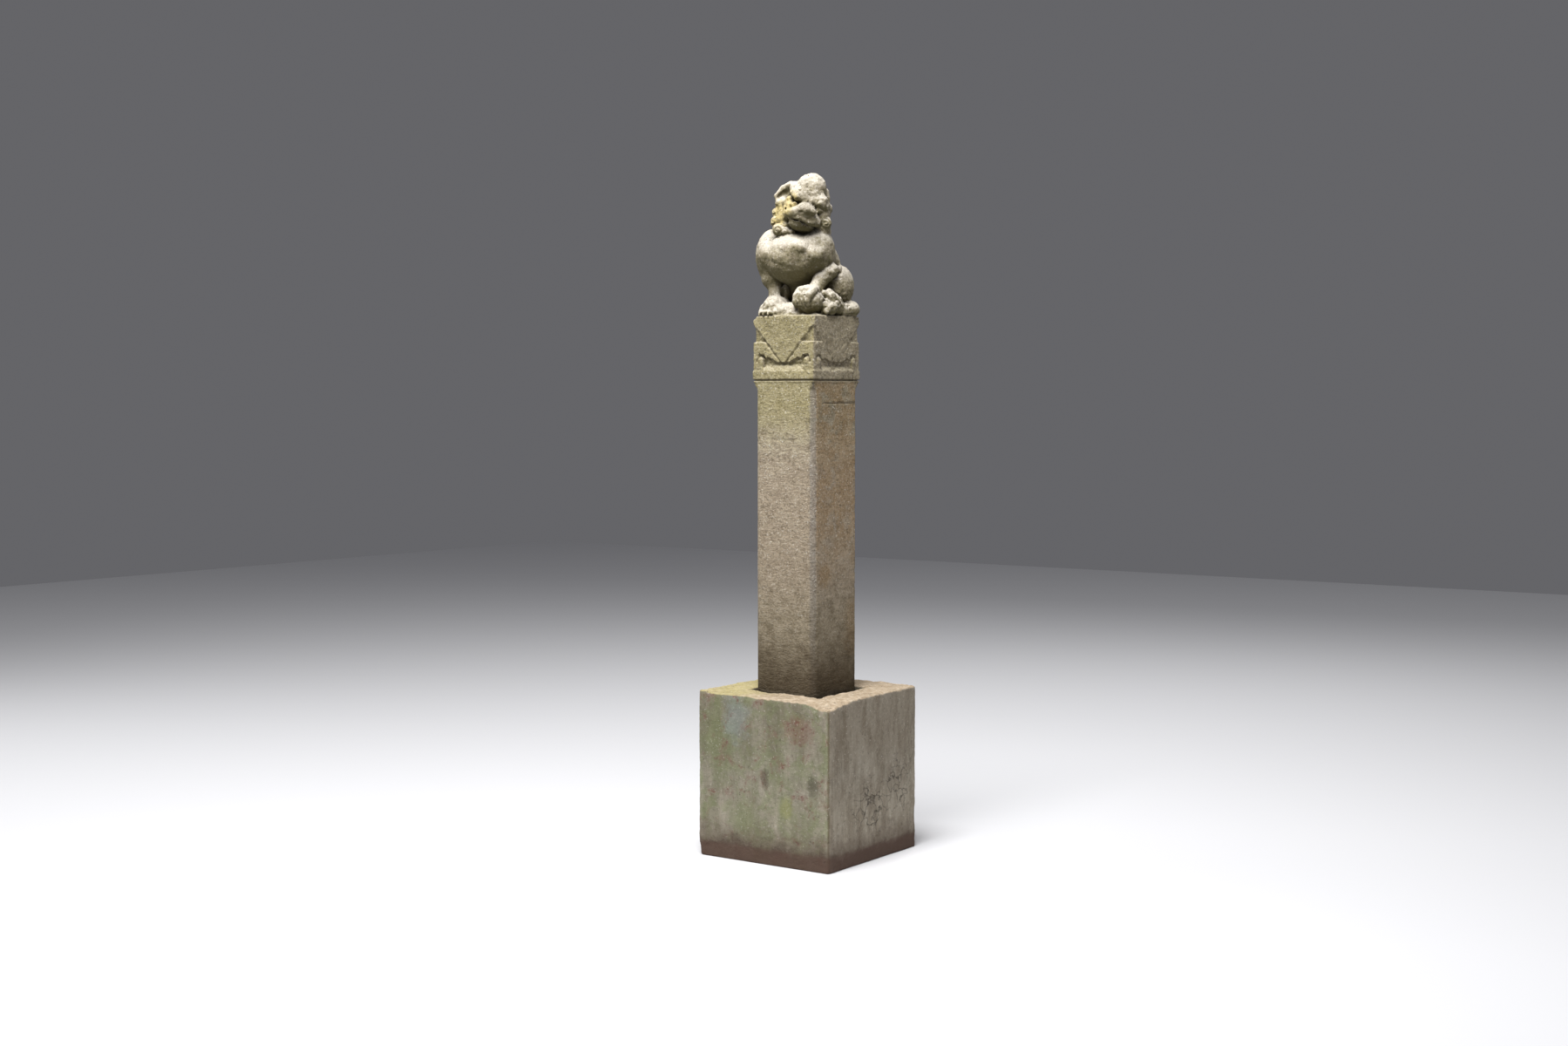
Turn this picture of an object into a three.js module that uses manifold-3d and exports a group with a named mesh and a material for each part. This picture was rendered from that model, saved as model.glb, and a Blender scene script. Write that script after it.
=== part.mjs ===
// A stone hitching post: a seated guardian lion, a carved square capital and a chamfered shaft cut from one
// stone, standing loose in the square socket of a rough stone block.
// Millimetres, +Z up. The origin is the middle of the block's underside. The lion looks towards -Y.

import * as THREE from "three";
import { mergeVertices } from "three/addons/utils/BufferGeometryUtils.js";
import Module from "manifold-3d";

const wasm = await Module();
wasm.setup();

// Driving sizes of the block and its socket
const BLOCK_SIDE = 440;
const BLOCK_HEIGHT = 458;
const SOCKET_SIDE = 238;
const SOCKET_DEPTH = 160;

// Driving sizes of the post
const POST_SIDE = 208;
const POST_TURN = -3;
const POST_SHIFT = -4;
const CAPITAL_TOP = 1484;
const CAPITAL_HEIGHT = 173;
const BAND_HEIGHT = 25;
const BAND_PROUD = 1.5;
const GROOVE_HEIGHT = 4;
const GROOVE_DEPTH = 3;
const CHAMFER = 17;
const CHAMFER_STOP = 24;
const REST_GAP = 0.3;

// Carving on each face of the capital, measured from its top edge downwards
const CLOTH_CORNER = 24;
const CLOTH_TIP = 138;
const LEDGE_DROP = 71;
const RECESS_DEPTH = 5;
const LINE_WIDTH = 3.5;
const LINE_DEPTH = 3;
const SCROLL_RADIUS = 10;
const SCROLL_OUT = 78;
const SCROLL_DROP = 122;
const UNDERCUT_DEPTH = 8;

// The lion's head: where its middle is above the capital, and how it is turned
const HEAD_MIDDLE = [30, -24, 300];
const HEAD_TURN = 31.8;
const HEAD_ROLL = 13;
const HEAD_NOD = 2;

// How finely the lion is carved, and how many facets are left
const CARVE_STEP = 4.5;
const LION_FACETS = 7000;

const POST_FOOT = BLOCK_HEIGHT - SOCKET_DEPTH + REST_GAP;
const HALF = POST_SIDE / 2;
const SIDES = [-1, 1];
const DEGREE = Math.PI / 180;

// Solids: a closed geometry becomes one for joining and cutting, and comes back as a geometry

function solid(geometry, matrix) {
  const bare = geometry.clone();
  bare.deleteAttribute("normal");
  bare.deleteAttribute("uv");
  if (matrix) bare.applyMatrix4(matrix);
  const merged = mergeVertices(bare, 1e-4);
  return new wasm.Manifold(new wasm.Mesh({
    numProp: 3,
    vertProperties: new Float32Array(merged.attributes.position.array),
    triVerts: new Uint32Array(merged.index.array),
  }));
}

function facets(shape) {
  const mesh = shape.getMesh();
  const geometry = new THREE.BufferGeometry();
  geometry.setAttribute("position", new THREE.BufferAttribute(mesh.vertProperties, mesh.numProp));
  geometry.setIndex(new THREE.BufferAttribute(mesh.triVerts, 1));
  geometry.computeVertexNormals();
  return geometry;
}

function moved(x, y, z) {
  return new THREE.Matrix4().makeTranslation(x, y, z);
}

function boxSolid(low, high) {
  const size = high.map((value, i) => value - low[i]);
  const middle = high.map((value, i) => (value + low[i]) / 2);
  return solid(new THREE.BoxGeometry(...size), moved(...middle));
}

// An outline in the plane of a face (across, up), pushed inwards from `front` to `back`
function slab(outline, front, back) {
  const shape = new THREE.Shape(outline.map(([across, up]) => new THREE.Vector2(across, up)));
  const body = new THREE.ExtrudeGeometry(shape, { depth: back - front, bevelEnabled: false });
  return solid(body, new THREE.Matrix4().makeRotationX(Math.PI / 2).setPosition(0, back, 0));
}

// A small repeatable noise for broken stone, between -1 and 1
function grit(x, y, z) {
  const value = Math.sin(x * 12.9898 + y * 78.233 + z * 37.719) * 43758.5453;
  return 2 * (value - Math.floor(value)) - 1;
}

// Carved forms: each has a box that holds it, and a signed distance in its own place

function blob(middle, radii) {
  const [a, b, c] = radii;
  return {
    low: middle.map((value, i) => value - radii[i]),
    high: middle.map((value, i) => value + radii[i]),
    distance(x, y, z) {
      const p = (x - middle[0]) / a;
      const q = (y - middle[1]) / b;
      const r = (z - middle[2]) / c;
      const near = Math.hypot(p, q, r) + 1e-6;
      return near * (near - 1) / (Math.hypot(p / a, q / b, r / c) + 1e-9);
    },
  };
}

// A rounded limb through points [x, y, z, radius]
function limb(points) {
  const reach = (pick, sign) => [0, 1, 2].map((i) => pick(...points.map((p) => p[i] + sign * p[3])));
  return {
    low: reach(Math.min, -1),
    high: reach(Math.max, 1),
    distance(x, y, z) {
      let result = Infinity;
      for (let i = 1; i < points.length; i += 1) {
        const start = points[i - 1];
        const end = points[i];
        const along = [end[0] - start[0], end[1] - start[1], end[2] - start[2]];
        const from = [x - start[0], y - start[1], z - start[2]];
        const length = along[0] ** 2 + along[1] ** 2 + along[2] ** 2;
        const dot = from[0] * along[0] + from[1] * along[1] + from[2] * along[2];
        const t = Math.min(1, Math.max(0, dot / length));
        const away = Math.hypot(from[0] - t * along[0], from[1] - t * along[1], from[2] - t * along[2]);
        const distance = away - (start[3] + t * (end[3] - start[3]));
        result = i === 1 ? distance : smoothMin(result, distance, 3);
      }
      return result;
    },
  };
}

// A ball of hair with a spiral cut round its own +Z axis
function curl(radius, hand = 1, depth = 2.6) {
  const ball = blob([0, 0, 0], [radius, radius, radius * 0.85]);
  const pitch = radius / 1.6;
  return {
    low: ball.low,
    high: ball.high,
    distance(x, y, z) {
      const phase = hand * Math.atan2(y, x) + 2 * Math.PI * Math.hypot(x, y) / pitch;
      const groove = 0.5 + 0.5 * Math.cos(phase);
      const front = Math.min(1, Math.max(0, (z + 0.2 * radius) / (0.5 * radius)));
      return ball.distance(x, y, z) + depth * groove ** 2 * front;
    },
  };
}

function smoothMin(a, b, blend) {
  const overlap = Math.max(blend - Math.abs(a - b), 0) / blend;
  return Math.min(a, b) - overlap ** 3 * blend / 6;
}

// A block of stone as a grid of distances, from which forms are added and cut

class Stone {
  constructor(low, high, step) {
    this.low = low;
    this.step = step;
    this.count = low.map((value, i) => Math.ceil((high[i] - value) / step) + 1);
    this.values = new Float32Array(this.count[0] * this.count[1] * this.count[2]).fill(60);
  }

  index(i, j, k) {
    return (i * this.count[1] + j) * this.count[2] + k;
  }

  // Whether the surface passes through the cell at i, j, k
  crossed(i, j, k) {
    let inside = 0;
    for (let corner = 0; corner < 8; corner += 1) {
      const at = this.index(i + (corner & 1), j + ((corner >> 1) & 1), k + (corner >> 2));
      inside += this.values[at] < 0 ? 1 : 0;
    }
    return inside > 0 && inside < 8;
  }

  // The outermost grid points are always outside, so what runs on below is cut off flat
  trim() {
    const last = this.count.map((value) => value - 1);
    for (let i = 0; i <= last[0]; i += 1) {
      for (let j = 0; j <= last[1]; j += 1) {
        for (let k = 0; k <= last[2]; k += 1) {
          const rim = i % last[0] === 0 || j % last[1] === 0 || k % last[2] === 0;
          const at = this.index(i, j, k);
          if (rim) this.values[at] = Math.max(this.values[at], this.step);
        }
      }
    }
  }

  // Hollows that can't be reached from outside without going below `floor` are filled
  fillHollows(floor) {
    const reached = new Uint8Array(this.values.length);
    const queue = [this.count.map((value) => value - 1)];
    while (queue.length > 0) {
      const cell = queue.pop();
      const open = cell.every((value, axis) => value >= 0 && value < this.count[axis])
        && this.low[2] + cell[2] * this.step > floor;
      const at = open ? this.index(...cell) : 0;
      if (!open || reached[at] || this.values[at] < 0) continue;
      reached[at] = 1;
      for (const way of AXES) {
        queue.push(cell.map((value, axis) => value + way[axis]));
        queue.push(cell.map((value, axis) => value - way[axis]));
      }
    }
    reached.forEach((found, at) => {
      const height = this.low[2] + (at % this.count[2]) * this.step;
      if (!found && height > floor && this.values[at] >= 0) this.values[at] = -this.step;
    });
  }

  // Runs `change` over the grid points within `margin` of a form that stands at `place`
  around(form, place, margin, change) {
    const corners = new THREE.Box3(
      new THREE.Vector3(...form.low),
      new THREE.Vector3(...form.high),
    ).applyMatrix4(place).expandByScalar(margin);
    const first = [];
    const last = [];
    for (let axis = 0; axis < 3; axis += 1) {
      const from = (corners.min.getComponent(axis) - this.low[axis]) / this.step;
      const to = (corners.max.getComponent(axis) - this.low[axis]) / this.step;
      first.push(Math.max(0, Math.ceil(from)));
      last.push(Math.min(this.count[axis] - 1, Math.floor(to)));
    }
    const inverse = place.clone().invert();
    const point = new THREE.Vector3();
    for (let i = first[0]; i <= last[0]; i += 1) {
      for (let j = first[1]; j <= last[1]; j += 1) {
        for (let k = first[2]; k <= last[2]; k += 1) {
          point.set(i, j, k).multiplyScalar(this.step);
          point.set(point.x + this.low[0], point.y + this.low[1], point.z + this.low[2]);
          point.applyMatrix4(inverse);
          const at = this.index(i, j, k);
          this.values[at] = change(this.values[at], form.distance(point.x, point.y, point.z));
        }
      }
    }
  }
}

// A carver works in its own place on the stone
class Carver {
  constructor(stone, place = new THREE.Matrix4()) {
    this.stone = stone;
    this.place = place;
  }

  at(place) {
    return new Carver(this.stone, this.place.clone().multiply(place));
  }

  add(form, blend) {
    this.stone.around(form, this.place, blend + 10, (now, distance) => smoothMin(now, distance, blend));
  }

  cut(form, blend) {
    this.stone.around(form, this.place, blend + 10, (now, distance) => -smoothMin(-now, distance, blend));
  }
}

// A place whose own +Z axis looks along `axis`
function facing(middle, axis) {
  const turn = new THREE.Quaternion();
  turn.setFromUnitVectors(new THREE.Vector3(0, 0, 1), new THREE.Vector3(...axis).normalize());
  return new THREE.Matrix4().makeRotationFromQuaternion(turn).setPosition(...middle);
}

// Each cell is split into six tetrahedra, one for each way along its edges from corner to corner
const AXES = [[1, 0, 0], [0, 1, 0], [0, 0, 1]];
const PATHS = [[0, 1, 2], [1, 2, 0], [2, 0, 1], [0, 2, 1], [2, 1, 0], [1, 0, 2]];

// The closed surface of the stone, where the distance is nought
function surface(stone) {
  const points = [];
  const halfway = [];
  const triangles = [];
  const known = new Map();
  const spot = (cell) => [0, 1, 2].map((axis) => stone.low[axis] + cell[axis] * stone.step);
  const crossing = (inner, outer) => {
    const [first, second] = inner.id < outer.id ? [inner, outer] : [outer, inner];
    const key = first.id * stone.values.length + second.id;
    if (!known.has(key)) {
      const share = Math.min(0.97, Math.max(0.03, first.value / (first.value - second.value)));
      const start = spot(first.cell);
      const end = spot(second.cell);
      known.set(key, points.length);
      points.push(start.map((value, axis) => value + share * (end[axis] - value)));
      halfway.push(start.map((value, axis) => (value + end[axis]) / 2));
    }
    return known.get(key);
  };
  const face = (a, b, c, inside, outside) => {
    const [p, q, r] = [a, b, c].map((id) => new THREE.Vector3(...halfway[id]));
    const normal = q.clone().sub(p).cross(r.clone().sub(p));
    const outwards = new THREE.Vector3(...spot(outside.cell)).sub(new THREE.Vector3(...spot(inside.cell)));
    triangles.push(normal.dot(outwards) > 0 ? [a, b, c] : [a, c, b]);
  };
  for (let i = 0; i < stone.count[0] - 1; i += 1) {
    for (let j = 0; j < stone.count[1] - 1; j += 1) {
      for (let k = 0; k < stone.count[2] - 1; k += 1) {
        if (!stone.crossed(i, j, k)) continue;
        for (const path of PATHS) {
          let cell = [i, j, k];
          const corners = [];
          for (const step of [null, ...path]) {
            if (step !== null) cell = cell.map((value, axis) => value + AXES[step][axis]);
            const id = stone.index(...cell);
            corners.push({ cell, id, value: stone.values[id] });
          }
          const inside = corners.filter((corner) => corner.value < 0);
          const outside = corners.filter((corner) => corner.value >= 0);
          if (inside.length === 1) {
            const ring = outside.map((corner) => crossing(inside[0], corner));
            face(...ring, inside[0], outside[0]);
          } else if (inside.length === 3) {
            const ring = inside.map((corner) => crossing(corner, outside[0]));
            face(...ring, inside[0], outside[0]);
          } else if (inside.length === 2) {
            const [a, b] = outside.map((corner) => crossing(inside[0], corner));
            const [c, d] = outside.map((corner) => crossing(inside[1], corner));
            face(a, b, d, inside[0], outside[0]);
            face(a, d, c, inside[0], outside[0]);
          }
        }
      }
    }
  }
  return { points, triangles };
}

// Fewer facets: the edge whose loss bends the surface least is folded up, again and again

class Fold {
  constructor(points, triangles) {
    this.points = points;
    this.triangles = triangles;
    this.faces = points.map(() => new Set());
    this.bends = points.map(() => new Float64Array(10));
    this.stamps = new Int32Array(points.length);
    this.heap = [];
    this.left = triangles.length;
    triangles.forEach((triangle, id) => {
      const plane = this.plane(triangle);
      for (const corner of triangle) {
        this.faces[corner].add(id);
        this.addPlane(this.bends[corner], plane);
      }
    });
    triangles.forEach(([a, b, c]) => {
      for (const [p, q] of [[a, b], [b, c], [c, a]]) {
        if (p < q) this.push(p, q);
      }
    });
  }

  // Unit normal, offset and area of a triangle
  plane([a, b, c]) {
    const [p, q, r] = [this.points[a], this.points[b], this.points[c]];
    const u = [q[0] - p[0], q[1] - p[1], q[2] - p[2]];
    const v = [r[0] - p[0], r[1] - p[1], r[2] - p[2]];
    const n = [u[1] * v[2] - u[2] * v[1], u[2] * v[0] - u[0] * v[2], u[0] * v[1] - u[1] * v[0]];
    const size = Math.hypot(...n) || 1e-12;
    const unit = n.map((value) => value / size);
    return { unit, offset: -(unit[0] * p[0] + unit[1] * p[1] + unit[2] * p[2]), area: size / 2 };
  }

  // Ten sums stand for the squared distances to a set of planes
  addPlane(sums, { unit: [a, b, c], offset: d, area }) {
    const terms = [a * a, a * b, a * c, a * d, b * b, b * c, b * d, c * c, c * d, d * d];
    terms.forEach((term, i) => {
      sums[i] += term * area;
    });
  }

  cost(s, [x, y, z]) {
    return s[0] * x * x + 2 * s[1] * x * y + 2 * s[2] * x * z + 2 * s[3] * x
      + s[4] * y * y + 2 * s[5] * y * z + 2 * s[6] * y + s[7] * z * z + 2 * s[8] * z + s[9];
  }

  // The point that stays nearest to the planes, held a little towards the edge's middle
  best(s, middle) {
    const hold = 1e-3 * (s[0] + s[4] + s[7]) + 1e-9;
    const m = new THREE.Matrix3().set(
      s[0] + hold, s[1], s[2],
      s[1], s[4] + hold, s[5],
      s[2], s[5], s[7] + hold,
    ).invert();
    const right = new THREE.Vector3(
      hold * middle[0] - s[3],
      hold * middle[1] - s[6],
      hold * middle[2] - s[8],
    ).applyMatrix3(m);
    return right.toArray();
  }

  push(a, b) {
    const sums = this.bends[a].map((value, i) => value + this.bends[b][i]);
    const [p, q] = [this.points[a], this.points[b]];
    const middle = p.map((value, i) => (value + q[i]) / 2);
    let point = this.best(sums, middle);
    const span = Math.hypot(p[0] - q[0], p[1] - q[1], p[2] - q[2]);
    const drift = Math.hypot(point[0] - middle[0], point[1] - middle[1], point[2] - middle[2]);
    if (!(drift < 2 * span)) point = middle;
    const cost = this.cost(sums, point) + 1e-3 * span * span;
    const entry = { cost, a, b, point, stampA: this.stamps[a], stampB: this.stamps[b] };
    let at = this.heap.push(entry) - 1;
    while (at > 0) {
      const parent = (at - 1) >> 1;
      if (this.heap[parent].cost <= entry.cost) break;
      this.heap[at] = this.heap[parent];
      at = parent;
    }
    this.heap[at] = entry;
  }

  pop() {
    const top = this.heap[0];
    const entry = this.heap.pop();
    const size = this.heap.length;
    let at = 0;
    while (size > 0) {
      let child = 2 * at + 1;
      if (child >= size) break;
      if (child + 1 < size && this.heap[child + 1].cost < this.heap[child].cost) child += 1;
      if (this.heap[child].cost >= entry.cost) break;
      this.heap[at] = this.heap[child];
      at = child;
    }
    if (size > 0) this.heap[at] = entry;
    return top;
  }

  neighbours(a) {
    const found = new Set();
    for (const id of this.faces[a]) {
      for (const corner of this.triangles[id]) found.add(corner);
    }
    found.delete(a);
    return found;
  }

  // Whether moving one end to `point` keeps every facet it holds facing the same way
  keeps(a, b, point) {
    for (const id of this.faces[a]) {
      const triangle = this.triangles[id];
      if (triangle.includes(b)) continue;
      const before = this.plane(triangle);
      const old = this.points[a];
      this.points[a] = point;
      const after = this.plane(triangle);
      const corners = triangle.map((corner) => this.points[corner]);
      this.points[a] = old;
      const turn = before.unit[0] * after.unit[0] + before.unit[1] * after.unit[1]
        + before.unit[2] * after.unit[2];
      const longest = Math.max(...corners.map((corner, i) => {
        const next = corners[(i + 1) % 3];
        return Math.hypot(corner[0] - next[0], corner[1] - next[1], corner[2] - next[2]);
      }));
      if (turn < 0.3 || after.area < 0.02 * longest * longest) return false;
    }
    return true;
  }

  run(facetCount) {
    while (this.left > facetCount && this.heap.length > 0) {
      const { a, b, point, stampA, stampB } = this.pop();
      if (this.stamps[a] !== stampA || this.stamps[b] !== stampB) continue;
      const around = this.neighbours(a);
      const shared = [...this.neighbours(b)].filter((corner) => around.has(corner));
      if (shared.length !== 2 || !this.keeps(a, b, point) || !this.keeps(b, a, point)) continue;
      this.join(a, b, point);
    }
  }

  join(a, b, point) {
    this.points[a] = point;
    for (const id of [...this.faces[b]]) {
      const triangle = this.triangles[id];
      if (triangle.includes(a)) {
        for (const corner of triangle) this.faces[corner].delete(id);
        this.triangles[id] = null;
        this.left -= 1;
      } else {
        triangle[triangle.indexOf(b)] = a;
        this.faces[a].add(id);
      }
    }
    this.bends[b].forEach((value, i) => {
      this.bends[a][i] += value;
    });
    this.stamps[a] += 1;
    this.stamps[b] = -1;
    for (const corner of this.neighbours(a)) {
      this.push(Math.min(a, corner), Math.max(a, corner));
    }
  }

  geometry() {
    const result = new THREE.BufferGeometry();
    const kept = this.triangles.filter((triangle) => triangle !== null);
    const corners = kept.flatMap((triangle) => triangle.flatMap((corner) => this.points[corner]));
    result.setAttribute("position", new THREE.Float32BufferAttribute(corners, 3));
    return result;
  }
}

// The lion, in the post's own place: the origin is the middle of the capital's top

// The trunk: back, chest, shoulders, neck and rump, with hollows behind the elbows and under the belly
function carveTrunk(lion) {
  lion.add(blob([0, 18, 118], [64, 68, 112]), 6);
  lion.add(blob([22, 34, 128], [56, 56, 82]), 14);
  lion.add(blob([-12, -46, 160], [80, 68, 72]), 25);
  lion.add(blob([-80, -46, 166], [47, 50, 74]), 22);
  lion.add(blob([48, -16, 176], [46, 54, 64]), 28);
  lion.add(blob([2, 10, 232], [60, 58, 48]), 25);
  lion.add(blob([-42, 4, 184], [50, 52, 56]), 25);
  lion.add(blob([0, 58, 78], [76, 46, 72]), 22);
  lion.add(blob([0, 44, 6], [78, 52, 34]), 10);
  lion.add(blob([-20, 0, 70], [44, 36, 62]), 12);
  lion.cut(blob([94, 0, 84], [26, 22, 26]), 8);
  lion.cut(blob([-8, -92, 44], [36, 46, 44]), 14);
}

// Thigh, hock, shin and paw of one hind leg, with its toes and the locks of hair that lie over it
function carveHindLeg(lion, side) {
  lion.add(blob([side * 66, 60, 84], [38, 48, 58]), 10);
  lion.add(blob([side * 87, 84, 20], [27, 26, 24]), 16);
  lion.add(limb([[side * 88, 78, 18, 20], [side * 88, 40, 17, 20], [side * 86, 8, 26, 22]]), 12);
  lion.add(blob([side * 84, 0, 32], [27, 42, 30]), 5);
  for (const toe of [-1, 0, 1]) {
    lion.add(blob([side * 88 + toe * 14, -34, 18], [9, 14, 17]), 3);
  }
  for (const [back, up, thick] of [[-22, 52, 15], [-6, 56, 15], [12, 50, 14], [30, 38, 13]]) {
    lion.add(limb([
      [side * 82, back + 14, up - 14, thick],
      [side * 86, back, up, thick - 2],
      [side * 88, back - 10, up + 8, thick - 6],
    ]), 4);
  }
}

// The right foreleg stands on the capital
function carveStandingLeg(lion) {
  lion.add(limb([[-84, -42, 144, 40], [-77, -50, 106, 32], [-66, -54, 74, 19], [-61, -56, 46, 22]]), 8);
  lion.add(blob([-57, -60, 27], [40, 38, 31]), 8);
  for (const toe of [0, 1, 2, 3]) {
    const middle = toe === 1 || toe === 2;
    lion.add(blob([-84 + 17 * toe, middle ? -91 : -88, 16], [11, 15, 16]), 6);
  }
}

// The left foreleg is bent at the elbow and holds a ball down with its paw
function carveBallLeg(lion) {
  lion.add(limb([[78, 2, 114, 24], [70, -14, 108, 27], [65, -33, 97, 24], [60, -50, 84, 19]]), 6);
  lion.add(blob([60, -62, 38], [38, 38, 38]), 4);
  lion.add(blob([58, -64, 66], [31, 31, 17]), 6);
  for (const [toe, across] of [38, 53, 68, 82].entries()) {
    const lean = Math.min(toe, 1);
    lion.add(limb([
      [across, -74, 68, 12],
      [across - 2 * lean, -92, 52, 11],
      [across - 3 * lean, -98, 37, 8],
      [across - 3 * lean, -95, 24, 5],
    ]), 5);
  }
  for (const [back, up] of [[8, 130], [22, 138], [38, 142]]) {
    lion.add(limb([[70, back, up - 8, 9], [80, back + 6, up + 2, 8], [80, back + 14, up + 12, 5]]), 4);
  }
}

// Rock that fills the ground between the paws, and a boss that hangs under the chest
function carveGround(lion) {
  lion.add(blob([-38, -44, 66], [12, 12, 24]), 5);
  lion.add(blob([-6, -66, 0], [64, 36, 38]), 8);
  lion.add(blob([0, -60, 0], [96, 36, 12]), 6);
}

// The tail stands against the back and ends in a tuft of three locks
function carveTail(lion) {
  lion.add(limb([[0, 94, 26, 18], [12, 102, 60, 15], [4, 98, 96, 14], [0, 84, 130, 13]]), 5);
  for (const side of [-1, 0, 1]) {
    lion.add(limb([
      [0, 84, 128, 12],
      [side * 16, 78 - 4 * Math.abs(side), 152, 12],
      [side * 20, 66, 182 - 8 * Math.abs(side), 7],
    ]), 5);
  }
}

// In the head's own place the face looks towards -Y and +X is the lion's left

function carveSkull(head) {
  head.add(blob([-2, 22, 4], [52, 56, 60]), 6);
  head.add(blob([-5, -6, 40], [42, 42, 47]), 12);
  head.cut(blob([-36, -46, -2], [15, 12, 9]), 5);
  head.cut(blob([28, -46, -4], [14, 14, 9]), 5);
  head.add(limb([
    [-28, -30, 24, 18],
    [-8, -36, 22, 17],
    [12, -36, 20, 17],
    [30, -28, 16, 18],
    [44, -10, 8, 13],
  ]), 18);
  head.add(limb([
    [-32, -36, 18, 13],
    [-10, -44, 15, 11],
    [10, -45, 13, 11],
    [28, -38, 9, 13],
    [44, -24, 3, 11],
  ]), 8);
  head.add(blob([-37, -38, -7], [8, 8, 7]), 2);
  head.add(blob([29, -40, -8], [8, 8, 6]), 2);
  for (const side of SIDES) {
    head.add(blob([side * 44 - 4, -8, -26], [22, 30, 34]), 10);
  }
}

function carveMuzzle(head) {
  head.add(blob([-7, -40, -34], [44, 34, 26]), 8);
  head.add(limb([[-2, -62, -29, 16], [-28, -58, -28, 17], [-44, -46, -31, 14]]), 4);
  head.add(limb([[4, -62, -34, 14], [22, -54, -42, 14], [34, -42, -44, 12]]), 4);
  head.add(blob([2, -58, -7], [19, 24, 15]), 5);
  head.add(limb([[-10, -72, -14, 9], [4, -76, -15, 10], [17, -70, -18, 9]]), 4);
  head.add(blob([-8, -42, -58], [34, 32, 17]), 5);
  head.cut(limb([
    [-54, -48, -40, 3],
    [-38, -68, -46, 3.6],
    [-16, -80, -46, 3.6],
    [2, -80, -48, 3.6],
    [22, -68, -57, 3.6],
    [34, -52, -62, 3],
  ]), 2);
}

// The right ear flaps outwards and is hollow in front; the left one is worn flat
function carveEars(head) {
  head.add(limb([[-40, 8, 48, 12], [-62, 10, 44, 12], [-78, 12, 32, 11], [-96, 12, 4, 7]]), 6);
  const blade = new THREE.Matrix4().makeRotationY(-40 * DEGREE).setPosition(-72, 10, 20);
  head.at(blade).add(blob([0, 0, 0], [26, 9, 18]), 6);
  head.cut(limb([[-60, -4, 30, 5], [-76, -2, 20, 6], [-90, 0, 4, 4]]), 3);
  head.add(limb([[31, 12, 46, 10], [39, 8, 28, 10], [43, 6, 8, 9]]), 6);
}

// The mane: full cheeks with curls round the face, and rows of curls over the back of the head
function carveMane(head) {
  head.add(blob([-58, 0, -50], [26, 22, 44]), 8);
  head.add(blob([-40, -6, -70], [30, 22, 22]), 8);
  head.add(blob([46, -8, -48], [24, 24, 32]), 8);
  head.add(limb([[-54, -14, 14, 9], [-60, -12, -4, 9], [-62, -10, -22, 8]]), 5);
  head.at(facing([-84, 4, -36], [-0.6, -0.7, 0.1])).add(curl(13), 3);
  head.at(facing([-81, 0, -62], [-0.5, -0.8, 0])).add(curl(16), 3);
  head.add(limb([[-56, -12, -86, 16], [-34, -20, -85, 13]]), 4);
  head.at(facing([-62, -17, -83], [-0.2, -0.95, -0.2])).add(curl(19, 1, 3.2), 3);
  head.at(facing([55, -22, -37], [0.15, -0.98, 0])).add(curl(17, -1, 3.2), 3);
  for (const [across, back, up, radius] of [
    [30, -16, -84, 13],
    [54, -12, -74, 14],
    [10, -22, -92, 11],
    [42, -6, -100, 12],
    [62, 8, -94, 12],
  ]) {
    head.at(facing([across, back, up], [0.2, -0.9, -0.2])).add(curl(radius, 1, 2), 3);
  }
  head.add(blob([-2, 46, -14], [58, 40, 64]), 10);
  for (const [row, up] of [34, 4, -26, -56].entries()) {
    const count = row === 0 ? 4 : 5;
    for (let place = 0; place < count; place += 1) {
      const around = (place - (count - 1) / 2) * 33 * DEGREE;
      const level = Math.sqrt(Math.max(0, 1 - ((up + 14) / 70) ** 2));
      const out = [Math.sin(around) * 54 * level - 4, 40 + Math.cos(around) * 42 * level, up];
      const axis = [Math.sin(around), Math.cos(around), (up + 14) / 70];
      head.at(facing(out, axis)).add(curl(16, place % 2 ? 1 : -1, 2.8), 3);
    }
  }
}

function carveLion() {
  const stone = new Stone([-146, -146, -14], [146, 136, 400], CARVE_STEP);
  const lion = new Carver(stone);
  carveTrunk(lion);
  SIDES.forEach((side) => carveHindLeg(lion, side));
  carveStandingLeg(lion);
  carveBallLeg(lion);
  carveGround(lion);
  carveTail(lion);
  const place = new THREE.Matrix4().makeTranslation(...HEAD_MIDDLE)
    .multiply(new THREE.Matrix4().makeRotationZ(HEAD_TURN * DEGREE))
    .multiply(new THREE.Matrix4().makeRotationX(HEAD_NOD * DEGREE))
    .multiply(new THREE.Matrix4().makeRotationY(HEAD_ROLL * DEGREE));
  const head = lion.at(place);
  carveSkull(head);
  carveMuzzle(head);
  carveEars(head);
  carveMane(head);
  stone.fillHollows(0);
  stone.trim();
  const { points, triangles } = surface(stone);
  const fold = new Fold(points, triangles);
  fold.run(LION_FACETS);
  return solid(fold.geometry());
}

// The capital's carving on the face towards -Y: a hanging cloth between sunk corners, and below it two
// scroll heads over an undercut that slopes out to the plain band

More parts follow.
